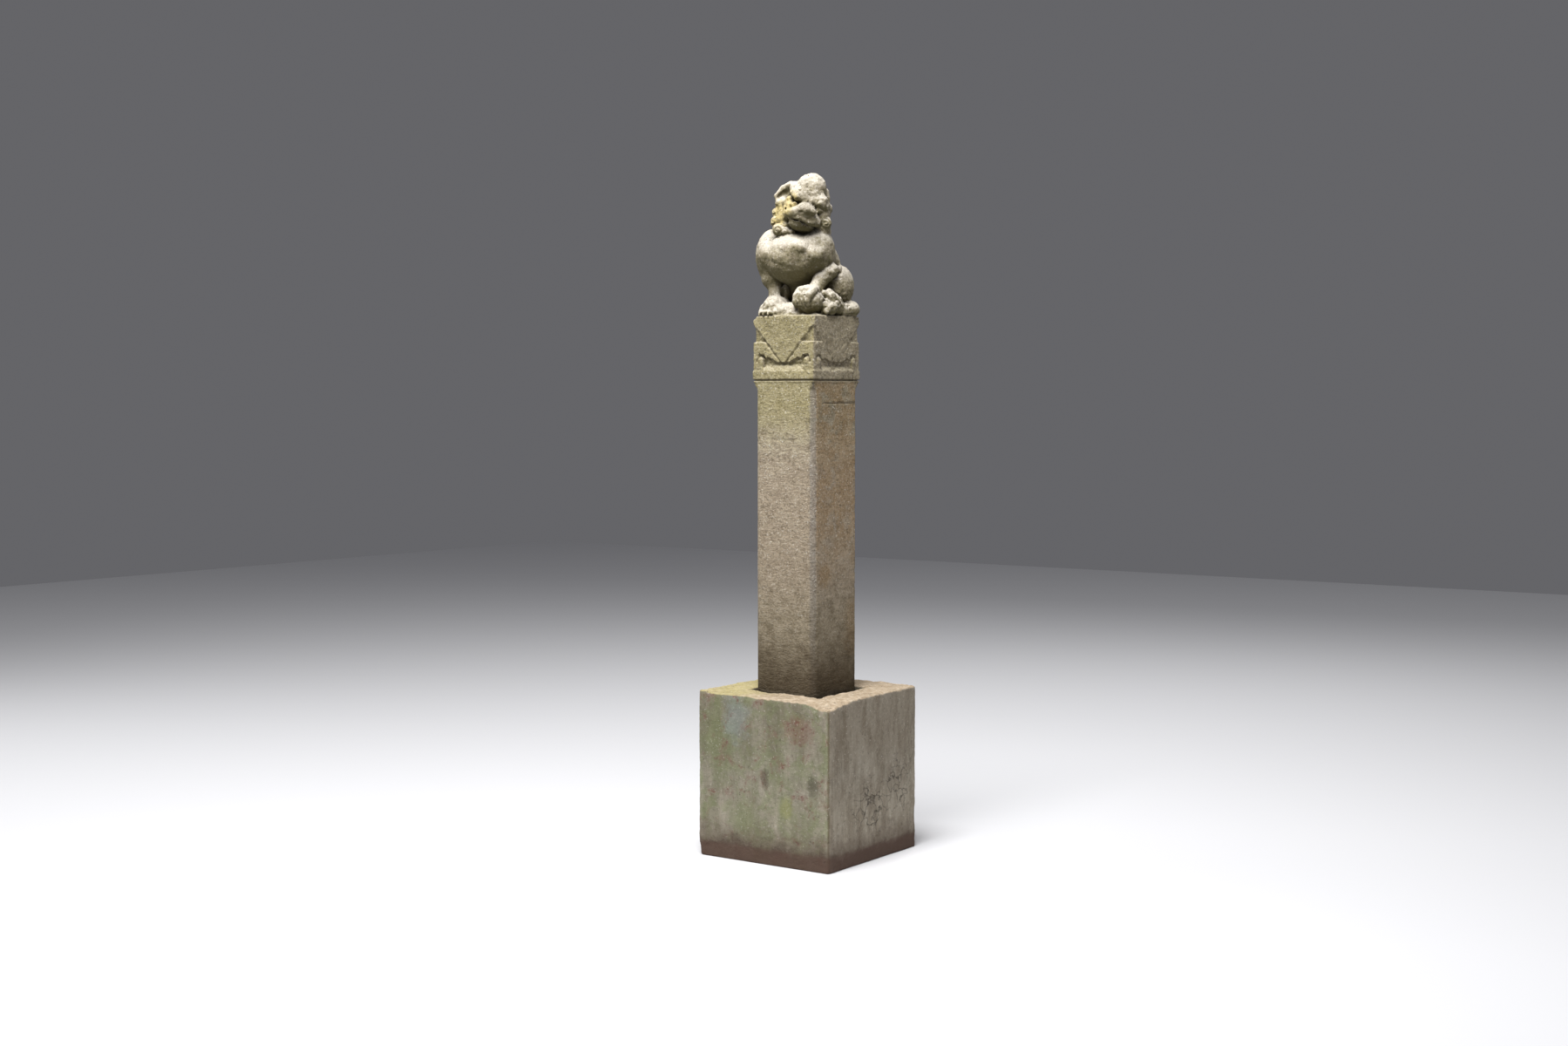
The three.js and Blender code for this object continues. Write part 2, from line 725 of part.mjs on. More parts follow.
function sunkCorners(capital) {
  let result = capital;
  for (const side of SIDES) {
    const edge = side * (HALF + 6);
    const ledgeStart = side * HALF * (1 - (LEDGE_DROP - CLOTH_CORNER) / (CLOTH_TIP - CLOTH_CORNER));
    const corner = [
      [edge, -CLOTH_CORNER],
      [ledgeStart, -LEDGE_DROP],
      [edge, -LEDGE_DROP],
    ];
    result = result.subtract(slab(side < 0 ? corner : corner.reverse(), -HALF - 9, -HALF + RECESS_DEPTH));
    const slope = Math.atan2(CLOTH_TIP - CLOTH_CORNER, HALF);
    const length = Math.hypot(CLOTH_TIP - CLOTH_CORNER, HALF) - 8;
    const line = new THREE.BoxGeometry(LINE_WIDTH, 2 * LINE_DEPTH, length);
    const place = new THREE.Matrix4().makeRotationY(side * (Math.PI / 2 - slope))
      .setPosition(side * HALF / 2, -HALF, -(CLOTH_CORNER + CLOTH_TIP) / 2);
    result = result.subtract(solid(line, place));
  }
  return result;
}

function undercut(capital) {
  const bottom = -(CAPITAL_HEIGHT - BAND_HEIGHT);
  const outer = SCROLL_OUT + SCROLL_RADIUS + 5;
  const arch = [[-outer, bottom], [outer, bottom]];
  const steps = 8;
  for (const side of [1, -1]) {
    for (let i = 0; i <= steps; i += 1) {
      const share = side > 0 ? i / steps : 1 - i / steps;
      const across = outer * (1 - share);
      const hump = Math.max(0, 1 - ((across - SCROLL_OUT + 4) / (SCROLL_RADIUS + 7)) ** 2);
      const up = -SCROLL_DROP - 12 * share + (SCROLL_RADIUS + 4) * Math.sqrt(hump) - (share > 0.9 ? 3 : 0);
      arch.push([side * across, up]);
    }
  }
  const opening = slab(arch, -HALF - 5, -HALF + UNDERCUT_DEPTH);
  const slope = new THREE.Shape([
    new THREE.Vector2(-HALF - 6, bottom),
    new THREE.Vector2(-HALF, bottom),
    new THREE.Vector2(-HALF + UNDERCUT_DEPTH, bottom + 16),
    new THREE.Vector2(-HALF + UNDERCUT_DEPTH, bottom + 60),
    new THREE.Vector2(-HALF - 6, bottom + 60),
  ]);
  const wedge = new THREE.ExtrudeGeometry(slope, { depth: 2 * outer + 10, bevelEnabled: false });
  const turn = new THREE.Matrix4().set(0, 0, 1, -outer - 5, 1, 0, 0, 0, 0, 1, 0, 0, 0, 0, 0, 1);
  let result = capital.subtract(opening.intersect(solid(wedge, turn)));
  for (const side of SIDES) {
    const scroll = new THREE.CylinderGeometry(SCROLL_RADIUS - 2, SCROLL_RADIUS, 10, 12);
    const place = new THREE.Matrix4().makeRotationX(Math.PI / 2)
      .setPosition(side * SCROLL_OUT, -HALF + 4.5, -SCROLL_DROP);
    result = result.add(solid(scroll, place));
  }
  return result;
}

function carveCapital() {
  const bandTop = -(CAPITAL_HEIGHT - BAND_HEIGHT);
  const proud = HALF + BAND_PROUD;
  let capital = boxSolid([-HALF, -HALF, bandTop - 1], [HALF, HALF, 0])
    .add(boxSolid([-proud, -proud, -CAPITAL_HEIGHT], [proud, proud, bandTop]));
  for (let face = 0; face < 4; face += 1) {
    capital = undercut(sunkCorners(capital)).rotate([0, 0, 90]);
  }
  return capital;
}

// The shaft: square, with chamfered corners that run out in a slope under the groove below the band
function carveShaft() {
  const foot = POST_FOOT - CAPITAL_TOP;
  const neck = HALF - GROOVE_DEPTH;
  const top = -CAPITAL_HEIGHT - GROOVE_HEIGHT;
  let shaft = boxSolid([-HALF, -HALF, foot], [HALF, HALF, top])
    .add(boxSolid([-neck, -neck, top - 1], [neck, neck, -CAPITAL_HEIGHT + 1]));
  const inner = (POST_SIDE - CHAMFER) / Math.SQRT2;
  const outer = POST_SIDE / Math.SQRT2 + 4;
  const profile = new THREE.Shape([
    new THREE.Vector2(inner, foot - 5),
    new THREE.Vector2(outer, foot - 5),
    new THREE.Vector2(outer, top),
    new THREE.Vector2(inner, top - CHAMFER_STOP),
  ]);
  const cutter = new THREE.ExtrudeGeometry(profile, { depth: 60, bevelEnabled: false });
  for (let corner = 0; corner < 4; corner += 1) {
    const place = new THREE.Matrix4().makeRotationZ((corner * 90 + 45) * DEGREE)
      .multiply(new THREE.Matrix4().set(1, 0, 0, 0, 0, 0, -1, 30, 0, 1, 0, 0, 0, 0, 0, 1));
    shaft = shaft.subtract(solid(cutter, place));
  }
  return shaft;
}

// The block: rough-cast sides, a broken top, a chipped front corner and a square socket in the middle

function roughBlock() {
  const shape = new THREE.BoxGeometry(BLOCK_SIDE, BLOCK_SIDE, BLOCK_HEIGHT, 7, 7, 6);
  const points = shape.attributes.position;
  for (let i = 0; i < points.count; i += 1) {
    const [x, y, z] = [points.getX(i), points.getY(i), points.getZ(i)];
    const rise = (z + BLOCK_HEIGHT / 2) / BLOCK_HEIGHT;
    const sag = (-5 * x + 5 * y) / (BLOCK_SIDE / 2) * 0.5 - 2;
    const rough = z > BLOCK_HEIGHT / 2 - 1 ? 2.5 * grit(x, y, 1) : 0;
    const dent = rise > 0 ? 1.5 : 0;
    const inwards = (value, seed) => value * (1 - dent * (1 + grit(x + seed, y, z)) / BLOCK_SIDE);
    points.setXYZ(i, inwards(x, 3), inwards(y, 7), z + BLOCK_HEIGHT / 2 + (rise > 0.99 ? sag + rough : 0));
  }
  return solid(shape);
}

// A broken place: a coarse lump taken out of the stone
function chip(middle, radii, seed) {
  const lump = new THREE.IcosahedronGeometry(1, 1);
  const points = lump.attributes.position;
  for (let i = 0; i < points.count; i += 1) {
    const [x, y, z] = [points.getX(i), points.getY(i), points.getZ(i)];
    const swell = 1 + 0.16 * grit(Math.round(x * 50) + seed, Math.round(y * 50), Math.round(z * 50));
    points.setXYZ(i, x * swell * radii[0], y * swell * radii[1], z * swell * radii[2]);
  }
  return solid(lump, moved(...middle));
}

function carveBlock() {
  const edge = BLOCK_SIDE / 2;
  const rim = SOCKET_SIDE / 2;
  let block = roughBlock();
  block = block.subtract(boxSolid([-rim, -rim, BLOCK_HEIGHT - SOCKET_DEPTH], [rim, rim, BLOCK_HEIGHT + 40]));
  const breaks = [
    [[edge + 6, -edge - 6, BLOCK_HEIGHT + 8], [74, 94, 30]],
    [[edge + 4, -edge * 0.55, BLOCK_HEIGHT + 4], [14, 60, 10]],
    [[edge * 0.35, -edge - 6, BLOCK_HEIGHT + 4], [70, 14, 9]],
    [[-edge * 0.7, -edge - 5, BLOCK_HEIGHT + 6], [40, 12, 10]],
    [[edge, edge * 0.6, BLOCK_HEIGHT + 6], [16, 50, 11]],
    [[-edge - 4, edge * 0.2, BLOCK_HEIGHT + 6], [14, 60, 12]],
    [[-edge - 6, -edge - 6, 6], [18, 18, 40]],
    [[-edge - 4, edge + 4, BLOCK_HEIGHT - 60], [16, 16, 50]],
    [[edge + 5, edge + 5, 90], [14, 14, 44]],
    [[rim, -rim, BLOCK_HEIGHT + 4], [18, 18, 12]],
    [[-rim * 0.4, -rim, BLOCK_HEIGHT + 6], [40, 10, 12]],
    [[rim, rim * 0.3, BLOCK_HEIGHT + 6], [10, 46, 12]],
    [[-rim, rim * 0.8, BLOCK_HEIGHT + 6], [12, 24, 12]],
  ];
  breaks.forEach(([middle, radii], seed) => {
    block = block.subtract(chip(middle, radii, seed));
  });
  return block;
}

const limestone = new THREE.MeshStandardMaterial({ name: "weathered_stone", color: 0x8f8a78, roughness: 0.95 });
const castStone = new THREE.MeshStandardMaterial({ name: "rough_block_stone", color: 0x77766a, roughness: 0.97 });

const hitchingPost = new THREE.Group();

const base = new THREE.Mesh(facets(carveBlock()), castStone);
base.name = "socket_base";
hitchingPost.add(base);

const post = new THREE.Mesh(facets(carveShaft().add(carveCapital()).add(carveLion())), limestone);
post.name = "guardian_post";
post.position.set(POST_SHIFT, POST_SHIFT, CAPITAL_TOP);
post.rotation.z = POST_TURN * DEGREE;
hitchingPost.add(post);

export default hitchingPost;
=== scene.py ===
"""A stone hitching post with a seated guardian lion, standing in a rough stone block.

The stones are carved in millimetres and then set in place in metres. The lion looks towards -Y.
"""
import math

import bmesh
import bpy
import numpy as np
from mathutils import Matrix, Vector


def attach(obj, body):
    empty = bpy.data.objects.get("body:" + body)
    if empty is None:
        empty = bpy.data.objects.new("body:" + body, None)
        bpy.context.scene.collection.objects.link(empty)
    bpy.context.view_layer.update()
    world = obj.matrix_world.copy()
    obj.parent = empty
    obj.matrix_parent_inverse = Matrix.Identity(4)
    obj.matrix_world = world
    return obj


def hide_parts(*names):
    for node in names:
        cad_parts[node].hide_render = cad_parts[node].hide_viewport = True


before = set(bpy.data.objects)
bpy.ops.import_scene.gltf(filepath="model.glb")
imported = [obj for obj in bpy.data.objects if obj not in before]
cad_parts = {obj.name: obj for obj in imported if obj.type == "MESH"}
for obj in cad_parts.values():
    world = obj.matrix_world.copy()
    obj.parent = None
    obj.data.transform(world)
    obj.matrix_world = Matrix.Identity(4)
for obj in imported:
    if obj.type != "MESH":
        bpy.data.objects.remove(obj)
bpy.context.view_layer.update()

MM = 0.001

# The block and its socket
BLOCK_SIDE = 440
BLOCK_HEIGHT = 458
SOCKET_SIDE = 238
SOCKET_DEPTH = 160

# The post
HALF = 104
POST_TURN = -3
POST_SHIFT = -4
CAPITAL_TOP = 1484
CAPITAL_HEIGHT = 173
BAND_HEIGHT = 25
BAND_PROUD = 1.5
GROOVE_HEIGHT = 4
GROOVE_DEPTH = 3
CHAMFER = 17
CHAMFER_STOP = 24
REST_GAP = 0.3
SHAFT_TOP = -CAPITAL_HEIGHT - GROOVE_HEIGHT
SHAFT_FOOT = BLOCK_HEIGHT - SOCKET_DEPTH + REST_GAP - CAPITAL_TOP

# The carving on each face of the capital, measured from its top edge downwards
CLOTH_CORNER = 24
CLOTH_TIP = 138
LEDGE_DROP = 71
RECESS_DEPTH = 5
SCROLL_RADIUS = 10
SCROLL_OUT = 78
SCROLL_DROP = 122
UNDERCUT_DEPTH = 8

# The lion's head
HEAD_MIDDLE = (30, -24, 300)
HEAD_TURN = 31.8
HEAD_ROLL = 13
HEAD_NOD = 2

# How finely the stones are carved, and how many triangles are kept
LION_STEP = 2.3
BLOCK_STEP = 3.6
LION_TRIANGLES = 120000
BLOCK_TRIANGLES = 180000

SIDES = (-1, 1)


# ---- noise and places

ASKEW = np.array(Matrix.Rotation(0.9, 3, Vector((1, 2, 3))), np.float32)


def scatter(cells, seed):
    """A repeatable number between -1 and 1 for every whole-number cell"""
    x, y, z = (cells[..., i].astype(np.uint32) for i in range(3))
    mixed = x * np.uint32(73856093) ^ y * np.uint32(19349663) ^ z * np.uint32(83492791)
    mixed = mixed ^ np.uint32((seed + 1) * 2654435761 % 2**32)
    mixed = (mixed ^ (mixed >> np.uint32(15))) * np.uint32(2246822519)
    mixed = (mixed ^ (mixed >> np.uint32(13))) * np.uint32(3266489917)
    mixed = mixed ^ (mixed >> np.uint32(16))
    return (mixed / 2.0**31 - 1).astype(np.float32)


def noise(points, size, seed=0):
    """Smooth noise between -1 and 1 whose lumps are about `size` across"""
    cell = np.asarray(points, np.float32) @ ASKEW / np.float32(size)
    corner = np.floor(cell)
    share = cell - corner
    share = share * share * (3 - 2 * share)
    corner = corner.astype(np.int64)
    total = 0
    for step in np.ndindex(2, 2, 2):
        weight = np.prod(np.where(step, share, 1 - share), axis=-1)
        total = total + weight * scatter(corner + step, seed)
    return total


def ease(value, low, high):
    """0 below low, 1 above high, and smooth between"""
    share = np.clip((value - low) / (high - low), 0, 1)
    return share * share * (3 - 2 * share)


def shift(x, y, z):
    return np.array(Matrix.Translation((x, y, z)))


def turn(axis, degrees):
    return np.array(Matrix.Rotation(math.radians(degrees), 4, axis))


def facing(middle, axis):
    """A place whose own +Z axis looks along `axis`"""
    turned = Vector((0, 0, 1)).rotation_difference(Vector(axis)).to_matrix().to_4x4()
    return shift(*middle) @ np.array(turned)


POST_PLACE = shift(POST_SHIFT, POST_SHIFT, CAPITAL_TOP) @ turn("Z", POST_TURN)


# ---- carved forms: the box that holds each one, and its signed distance

def smooth_min(a, b, blend):
    overlap = np.maximum(blend - np.abs(a - b), 0) / blend
    return np.minimum(a, b) - overlap**3 * (blend / 6)


def blob(middle, radii):
    a, b, c = (np.float32(value) for value in radii)

    def distance(x, y, z):
        p, q, r = (x - middle[0]) / a, (y - middle[1]) / b, (z - middle[2]) / c
        near = np.sqrt(p * p + q * q + r * r) + 1e-6
        return near * (near - 1) / (np.sqrt((p / a) ** 2 + (q / b) ** 2 + (r / c) ** 2) + 1e-9)

    return np.subtract(middle, radii), np.add(middle, radii), distance


def limb(points):
    """A rounded limb through points (x, y, z, radius)"""
    points = np.array(points, np.float32)
    middles, radii = points[:, :3], points[:, 3]

    def distance(x, y, z):
        result = None
        for start, end, r0, r1 in zip(middles, middles[1:], radii, radii[1:]):
            along = end - start
            dx, dy, dz = x - start[0], y - start[1], z - start[2]
            t = np.clip((dx * along[0] + dy * along[1] + dz * along[2]) / (along @ along), 0, 1)
            away = np.sqrt((dx - t * along[0]) ** 2 + (dy - t * along[1]) ** 2 + (dz - t * along[2]) ** 2)
            away = away - (r0 + t * (r1 - r0))
            result = away if result is None else smooth_min(result, away, 3)
        return result

    reach = radii[:, None]
    return (middles - reach).min(0), (middles + reach).max(0), distance


def cuboid(low, high, soft=1.0):
    """A box with edges rounded to `soft`"""
    middle = np.add(low, high) / 2
    half = np.subtract(high, low) / 2 - soft

    def distance(x, y, z):
        gaps = [abs(value - m) - h for value, m, h in zip((x, y, z), middle, half)]
        outside = np.sqrt(sum(np.maximum(gap, 0) ** 2 for gap in gaps))
        return outside + np.minimum(np.maximum(np.maximum(*gaps[:2]), gaps[2]), 0) - soft

    return np.array(low, float), np.array(high, float), distance


def wedge(low, high, *faces):
    """The part of a box that lies behind slanted faces, each (normal, distance along it)"""
    box_low, box_high, box_distance = cuboid(low, high, 0.5)

    def distance(x, y, z):
        result = box_distance(x, y, z)
        for normal, far in faces:
            length = math.hypot(*normal)
            result = np.maximum(result, (x * normal[0] + y * normal[1] + z * normal[2] - far) / length)
        return result

    return box_low, box_high, distance


def curl(radius, hand=1, depth=2.6, turns=2.0):
    """A ball of hair with a spiral cut round its own +Z axis"""
    low, high, ball = blob((0, 0, 0), (radius, radius, radius * 0.85))
    pitch = radius / turns

    def distance(x, y, z):
        out = np.sqrt(x * x + y * y)
        groove = 0.5 + 0.5 * np.cos(hand * np.arctan2(y, x) + 2 * math.pi * out / pitch)
        front = np.clip((z + 0.2 * radius) / (0.5 * radius), 0, 1)
        return ball(x, y, z) + depth * groove**2 * front * np.clip(out / 2, 0, 1)

    return low, high, distance


class Stone:
    """A block of stone as a grid of distances, from which forms are added and cut"""

    def __init__(self, low, high, step):
        self.axes = [np.arange(a, b + step, step, dtype=np.float32) for a, b in zip(low, high)]
        self.field = np.full([len(axis) for axis in self.axes], 60, np.float32)

    def around(self, low, high, place, margin):
        """The part of the grid round a form's box, and where its points are in the form's own place"""
        ends = np.stack([low, high])
        corners = np.array([[ends[i, 0], ends[j, 1], ends[k, 2], 1] for i, j, k in np.ndindex(2, 2, 2)])
        reach = (corners @ place.T)[:, :3]
        part = tuple(
            slice(*np.searchsorted(axis, (reach[:, i].min() - margin, reach[:, i].max() + margin)))
            for i, axis in enumerate(self.axes)
        )
        x, y, z = np.ix_(*(axis[s] for axis, s in zip(self.axes, part)))
        back = np.linalg.inv(place).astype(np.float32)
        return part, [back[i, 0] * x + back[i, 1] * y + back[i, 2] * z + back[i, 3] for i in range(3)]

    def change(self, form, place, blend, cut):
        low, high, distance = form
        part, own = self.around(low, high, place, blend + 8)
        now = self.field[part]
        if now.size:
            sign = -1 if cut else 1
            self.field[part] = sign * smooth_min(sign * now, distance(*own), blend)

    def roughen(self, form, place, size, amount, seed):
        """Rounded lumps about `size` across, with creases between them, that fade out at the form's edge"""
        low, high, distance = form
        part, own = self.around(low, high, place, 0)
        if self.field[part].size:
            fade = ease(-distance(*own), 0, 8)
            lumps = np.minimum(np.abs(noise(np.stack(own, -1), size, seed)) * 2.2, 1) - 0.6
            self.field[part] -= (amount * fade * lumps).astype(np.float32)

    def fill_pinches(self):
        """Fills grid points where two parts of the stone would meet along an edge alone"""
        while True:
            inside = self.field < 0
            pinched = np.zeros_like(inside)
            for a, b in ((0, 1), (0, 2), (1, 2)):
                parts = {}
                for i, j in np.ndindex(2, 2):
                    part = [slice(None)] * 3
                    part[a] = slice(i, inside.shape[a] - 1 + i)
                    part[b] = slice(j, inside.shape[b] - 1 + j)
                    parts[i, j] = tuple(part)
                held = {corner: inside[part] for corner, part in parts.items()}
                pinch = (held[0, 0] == held[1, 1]) & (held[0, 1] == held[1, 0]) & (held[0, 0] != held[0, 1])
                for corner, part in parts.items():
                    pinched[part] |= pinch & ~held[corner]
            if not pinched.any():
                return
            self.field[pinched] = -0.1

    def surface(self):
        """The middle of every cell that the surface crosses, and the quads that join them"""
        self.fill_pinches()
        inside = self.field < 0
        count = np.array(inside.shape) - 1
        held = sum(
            inside[i:count[0] + i, j:count[1] + j, k:count[2] + k].astype(np.int8)
            for i, j, k in np.ndindex(2, 2, 2)
        )
        crossed = (held > 0) & (held < 8)
        number = np.full(crossed.shape, -1, np.int64)
        number[crossed] = np.arange(crossed.sum())
        total = np.zeros((crossed.sum(), 3))
        hits = np.zeros(crossed.sum())
        quads = []
        for axis in range(3):
            ahead = [slice(None)] * 3
            behind = [slice(None)] * 3
            ahead[axis], behind[axis] = slice(1, None), slice(0, -1)
            ahead, behind = tuple(ahead), tuple(behind)
            edges = np.argwhere(inside[behind] != inside[ahead])
            spot = tuple(edges.T)
            start, end = self.field[behind][spot], self.field[ahead][spot]
            points = np.stack([self.axes[i][edges[:, i]] for i in range(3)], 1).astype(float)
            line = self.axes[axis]
            points[:, axis] += start / (start - end) * (line[edges[:, axis] + 1] - line[edges[:, axis]])
            ring = []
            for across, up in ((0, 0), (-1, 0), (-1, -1), (0, -1)):
                cell = edges.copy()
                cell[:, (axis + 1) % 3] += across
                cell[:, (axis + 2) % 3] += up
                ring.append(cell)
            whole = np.all([((cell >= 0) & (cell < count)).all(1) for cell in ring], axis=0)
            quad = np.stack([number[tuple(cell[whole].T)] for cell in ring], 1)
            for corner in quad.T:
                np.add.at(total, corner, points[whole])
                np.add.at(hits, corner, 1)
            outwards = inside[behind][spot][whole]
            quads.append(np.where(outwards[:, None], quad, quad[:, ::-1]))
        return total / np.maximum(hits, 1)[:, None], np.concatenate(quads)

    def filled(self, reach):
        """How much of the stone's surroundings within about `reach` is stone, for each grid point"""
        share = (self.field < 0).astype(np.float32)
        size = max(1, round(reach / float(self.axes[0][1] - self.axes[0][0])))
        for axis in (0, 1, 2, 0, 1, 2):
            padded = np.concatenate([share.take([0] * size, axis), share, share.take([-1] * size, axis)], axis)
            total = np.cumsum(padded, axis, dtype=np.float32)
            total = np.concatenate([np.zeros_like(total.take([0], axis)), total], axis)
            width = 2 * size + 1
            ends = np.arange(share.shape[axis])
            share = (total.take(ends + width, axis) - total.take(ends, axis)) / width
        return share

    def sample(self, values, points):
        """The grid's values at the grid points nearest to `points`"""
        spot = []
        for axis, place in zip(self.axes, points.T):
            step = float(axis[1] - axis[0])
            spot.append(np.clip(np.rint((place - axis[0]) / step).astype(int), 0, len(axis) - 1))
        return values[tuple(spot)]


class Carver:
    """Adds and cuts forms in a place of its own on the stone"""

    def __init__(self, stone, place=np.eye(4)):
        self.stone = stone
        self.place = place

    def at(self, place):
        return Carver(self.stone, self.place @ place)

    def add(self, form, blend):
        self.stone.change(form, self.place, blend, cut=False)

    def cut(self, form, blend):
        self.stone.change(form, self.place, blend, cut=True)

    def rough(self, form, size, amount, seed=0):
        self.stone.roughen(form, self.place, size, amount, seed)


# ---- the lion: the origin is the middle of the capital's top

def carve_trunk(lion):
    lion.add(blob((0, 18, 118), (64, 68, 112)), 6)
    lion.add(blob((22, 34, 128), (56, 56, 82)), 14)
    lion.add(blob((-12, -46, 160), (80, 68, 72)), 25)
    lion.add(blob((-80, -46, 166), (47, 50, 74)), 22)
    lion.add(blob((48, -16, 176), (46, 54, 64)), 28)
    lion.add(blob((2, 10, 232), (60, 58, 48)), 25)
    lion.add(blob((-42, 4, 184), (50, 52, 56)), 25)
    lion.add(blob((0, 58, 78), (76, 46, 72)), 22)
    lion.add(blob((0, 44, 6), (78, 52, 34)), 10)
    lion.add(blob((-20, 0, 70), (44, 36, 62)), 12)
    lion.cut(blob((94, 0, 84), (26, 22, 26)), 8)
    lion.cut(blob((-8, -92, 44), (36, 46, 44)), 14)
    lion.add(blob((-70, -86, 168), (28, 24, 30)), 20)
    lion.add(blob((24, -86, 182), (34, 20, 20)), 18)
    lion.add(blob((62, -48, 164), (28, 28, 24)), 18)
    lion.add(blob((-44, -18, 84), (22, 26, 46)), 10)
    lion.rough(blob((-10, -60, 170), (110, 76, 84)), 34, 1.6, 3)
    for back, up in ((88, 148), (82, 172), (75, 197), (70, 222)):
        lion.add(blob((back / 8, back, up), (9, 7, 10)), 6)


def carve_hind_leg(lion, side):
    lion.add(blob((side * 66, 60, 84), (38, 48, 58)), 10)
    lion.add(blob((side * 87, 84, 20), (27, 26, 24)), 16)
    lion.add(limb([(side * 88, 78, 18, 20), (side * 88, 40, 17, 20), (side * 86, 8, 26, 22)]), 12)
    lion.add(blob((side * 84, 0, 32), (27, 42, 30)), 5)
    for toe in (-1, 0, 1):
        across = side * 88 + toe * 14
        lion.add(limb([(across, -22, 28, 10), (across, -36, 20, 9), (across, -43, 9, 7)]), 3)
    for back, up, thick in ((-22, 52, 15), (-6, 56, 15), (12, 50, 14), (30, 38, 13)):
        lion.add(limb([
            (side * 82, back + 14, up - 14, thick),
            (side * 86, back, up, thick - 2),
            (side * 88, back - 10, up + 8, thick - 6),
        ]), 4)
        for groove in (-1, 1):
            lion.cut(limb([
                (side * 97, back + 16 + 4 * groove, up - 8, 2),
                (side * 98, back + 2 + 5 * groove, up + 4, 2),
            ]), 2)


def carve_standing_leg(lion):
    lion.add(limb([(-84, -42, 144, 40), (-77, -50, 106, 32), (-66, -54, 74, 19), (-61, -56, 46, 22)]), 8)
    lion.add(blob((-57, -60, 27), (40, 38, 31)), 8)
    for toe in range(4):
        across = -84 + 17 * toe
        front = -91 if toe in (1, 2) else -88
        lion.add(limb([(across, front + 18, 30, 11), (across, front + 3, 22, 11), (across, front - 5, 10, 9)]), 4)
        lion.add(limb([(across, front - 13, 9, 4), (across, front - 16, 3, 2.5)]), 2)
    for back, up in ((-14, 98), (-6, 116), (2, 134)):
        lion.add(limb([(-84, back - 12, up + 6, 12), (-92, back, up, 9), (-92, back + 12, up - 12, 5)]), 5)


def carve_ball_leg(lion):
    lion.add(limb([(78, 8, 124, 21), (71, -4, 116, 24), (67, -24, 98, 21), (64, -38, 78, 19), (62, -50, 60, 20)]), 6)
    lion.add(blob((60, -62, 38), (38, 38, 38)), 4)
    lion.add(blob((58, -64, 66), (31, 31, 17)), 6)
    for toe, across in enumerate((38, 53, 68, 82)):
        lean = min(toe, 1)
        lion.add(limb([
            (across, -74, 68, 12),
            (across - 2 * lean, -92, 52, 11),
            (across - 3 * lean, -98, 37, 8),
            (across - 3 * lean, -95, 24, 5),
        ]), 4)
    for back, up in ((2, 122), (14, 128), (28, 130)):
        lion.add(limb([(74, back, up - 12, 9), (84, back + 5, up - 4, 8), (84, back + 12, up + 4, 6)]), 5)
    for across, lean in ((45, 0), (59, -2), (74, -4)):
        lion.cut(limb([
            (across, -98, 58, 1.5),
            (across + lean, -105, 46, 2.8),
            (across + lean, -105, 34, 3.2),
            (across + lean, -98, 18, 3),
        ]), 3)
    lion.rough(blob((60, -64, 44), (46, 46, 50)), 9, 1.3, 5)
    lion.rough(blob((80, 8, 112), (30, 40, 30)), 10, 2.2, 6)


def carve_ground(lion):
    """Rock that fills the ground between the paws, and a rimmed boss that hangs under the chest"""
    lion.add(blob((-6, -66, 0), (64, 36, 38)), 8)
    lion.add(blob((0, -60, 0), (96, 36, 12)), 6)
    lion.add(blob((-38, -44, 66), (12, 12, 24)), 5)
    lion.cut(blob((-40, -57, 62), (6, 6, 16)), 2)


def carve_rough_ground(lion):
    lion.add(blob((90, -18, 22), (22, 34, 24)), 8)
    lion.add(blob((94, -14, 50), (15, 18, 14)), 6)
    lion.rough(blob((92, 6, 34), (36, 66, 48)), 11, 3.4, 7)
    lion.rough(blob((-92, 6, 34), (36, 66, 48)), 11, 3.0, 7)
    lion.rough(blob((-58, -84, 24), (48, 36, 36)), 12, 2.4, 8)
    lion.rough(blob((10, -80, 8), (90, 40, 34)), 12, 2.0, 9)


def carve_tail(lion):
    lion.add(limb([(0, 94, 26, 18), (12, 102, 60, 15), (4, 98, 96, 14), (0, 84, 130, 13)]), 5)
    for side in (-1, 0, 1):
        path = [
            (0, 84, 128, 12),
            (side * 16, 78 - 4 * abs(side), 152, 12),
            (side * 20, 66, 182 - 8 * abs(side), 7),
        ]
        lion.add(limb(path), 5)
        for groove in (-1, 1):
            lion.cut(limb([(x + 5 * groove, y + radius * 0.95, z, 1.8) for x, y, z, radius in path]), 2)
    for up in range(36, 120, 14):
        lion.cut(limb([(-16, 96, up + 8, 2), (6, 114, up, 2), (26, 98, up + 8, 2)]), 2)


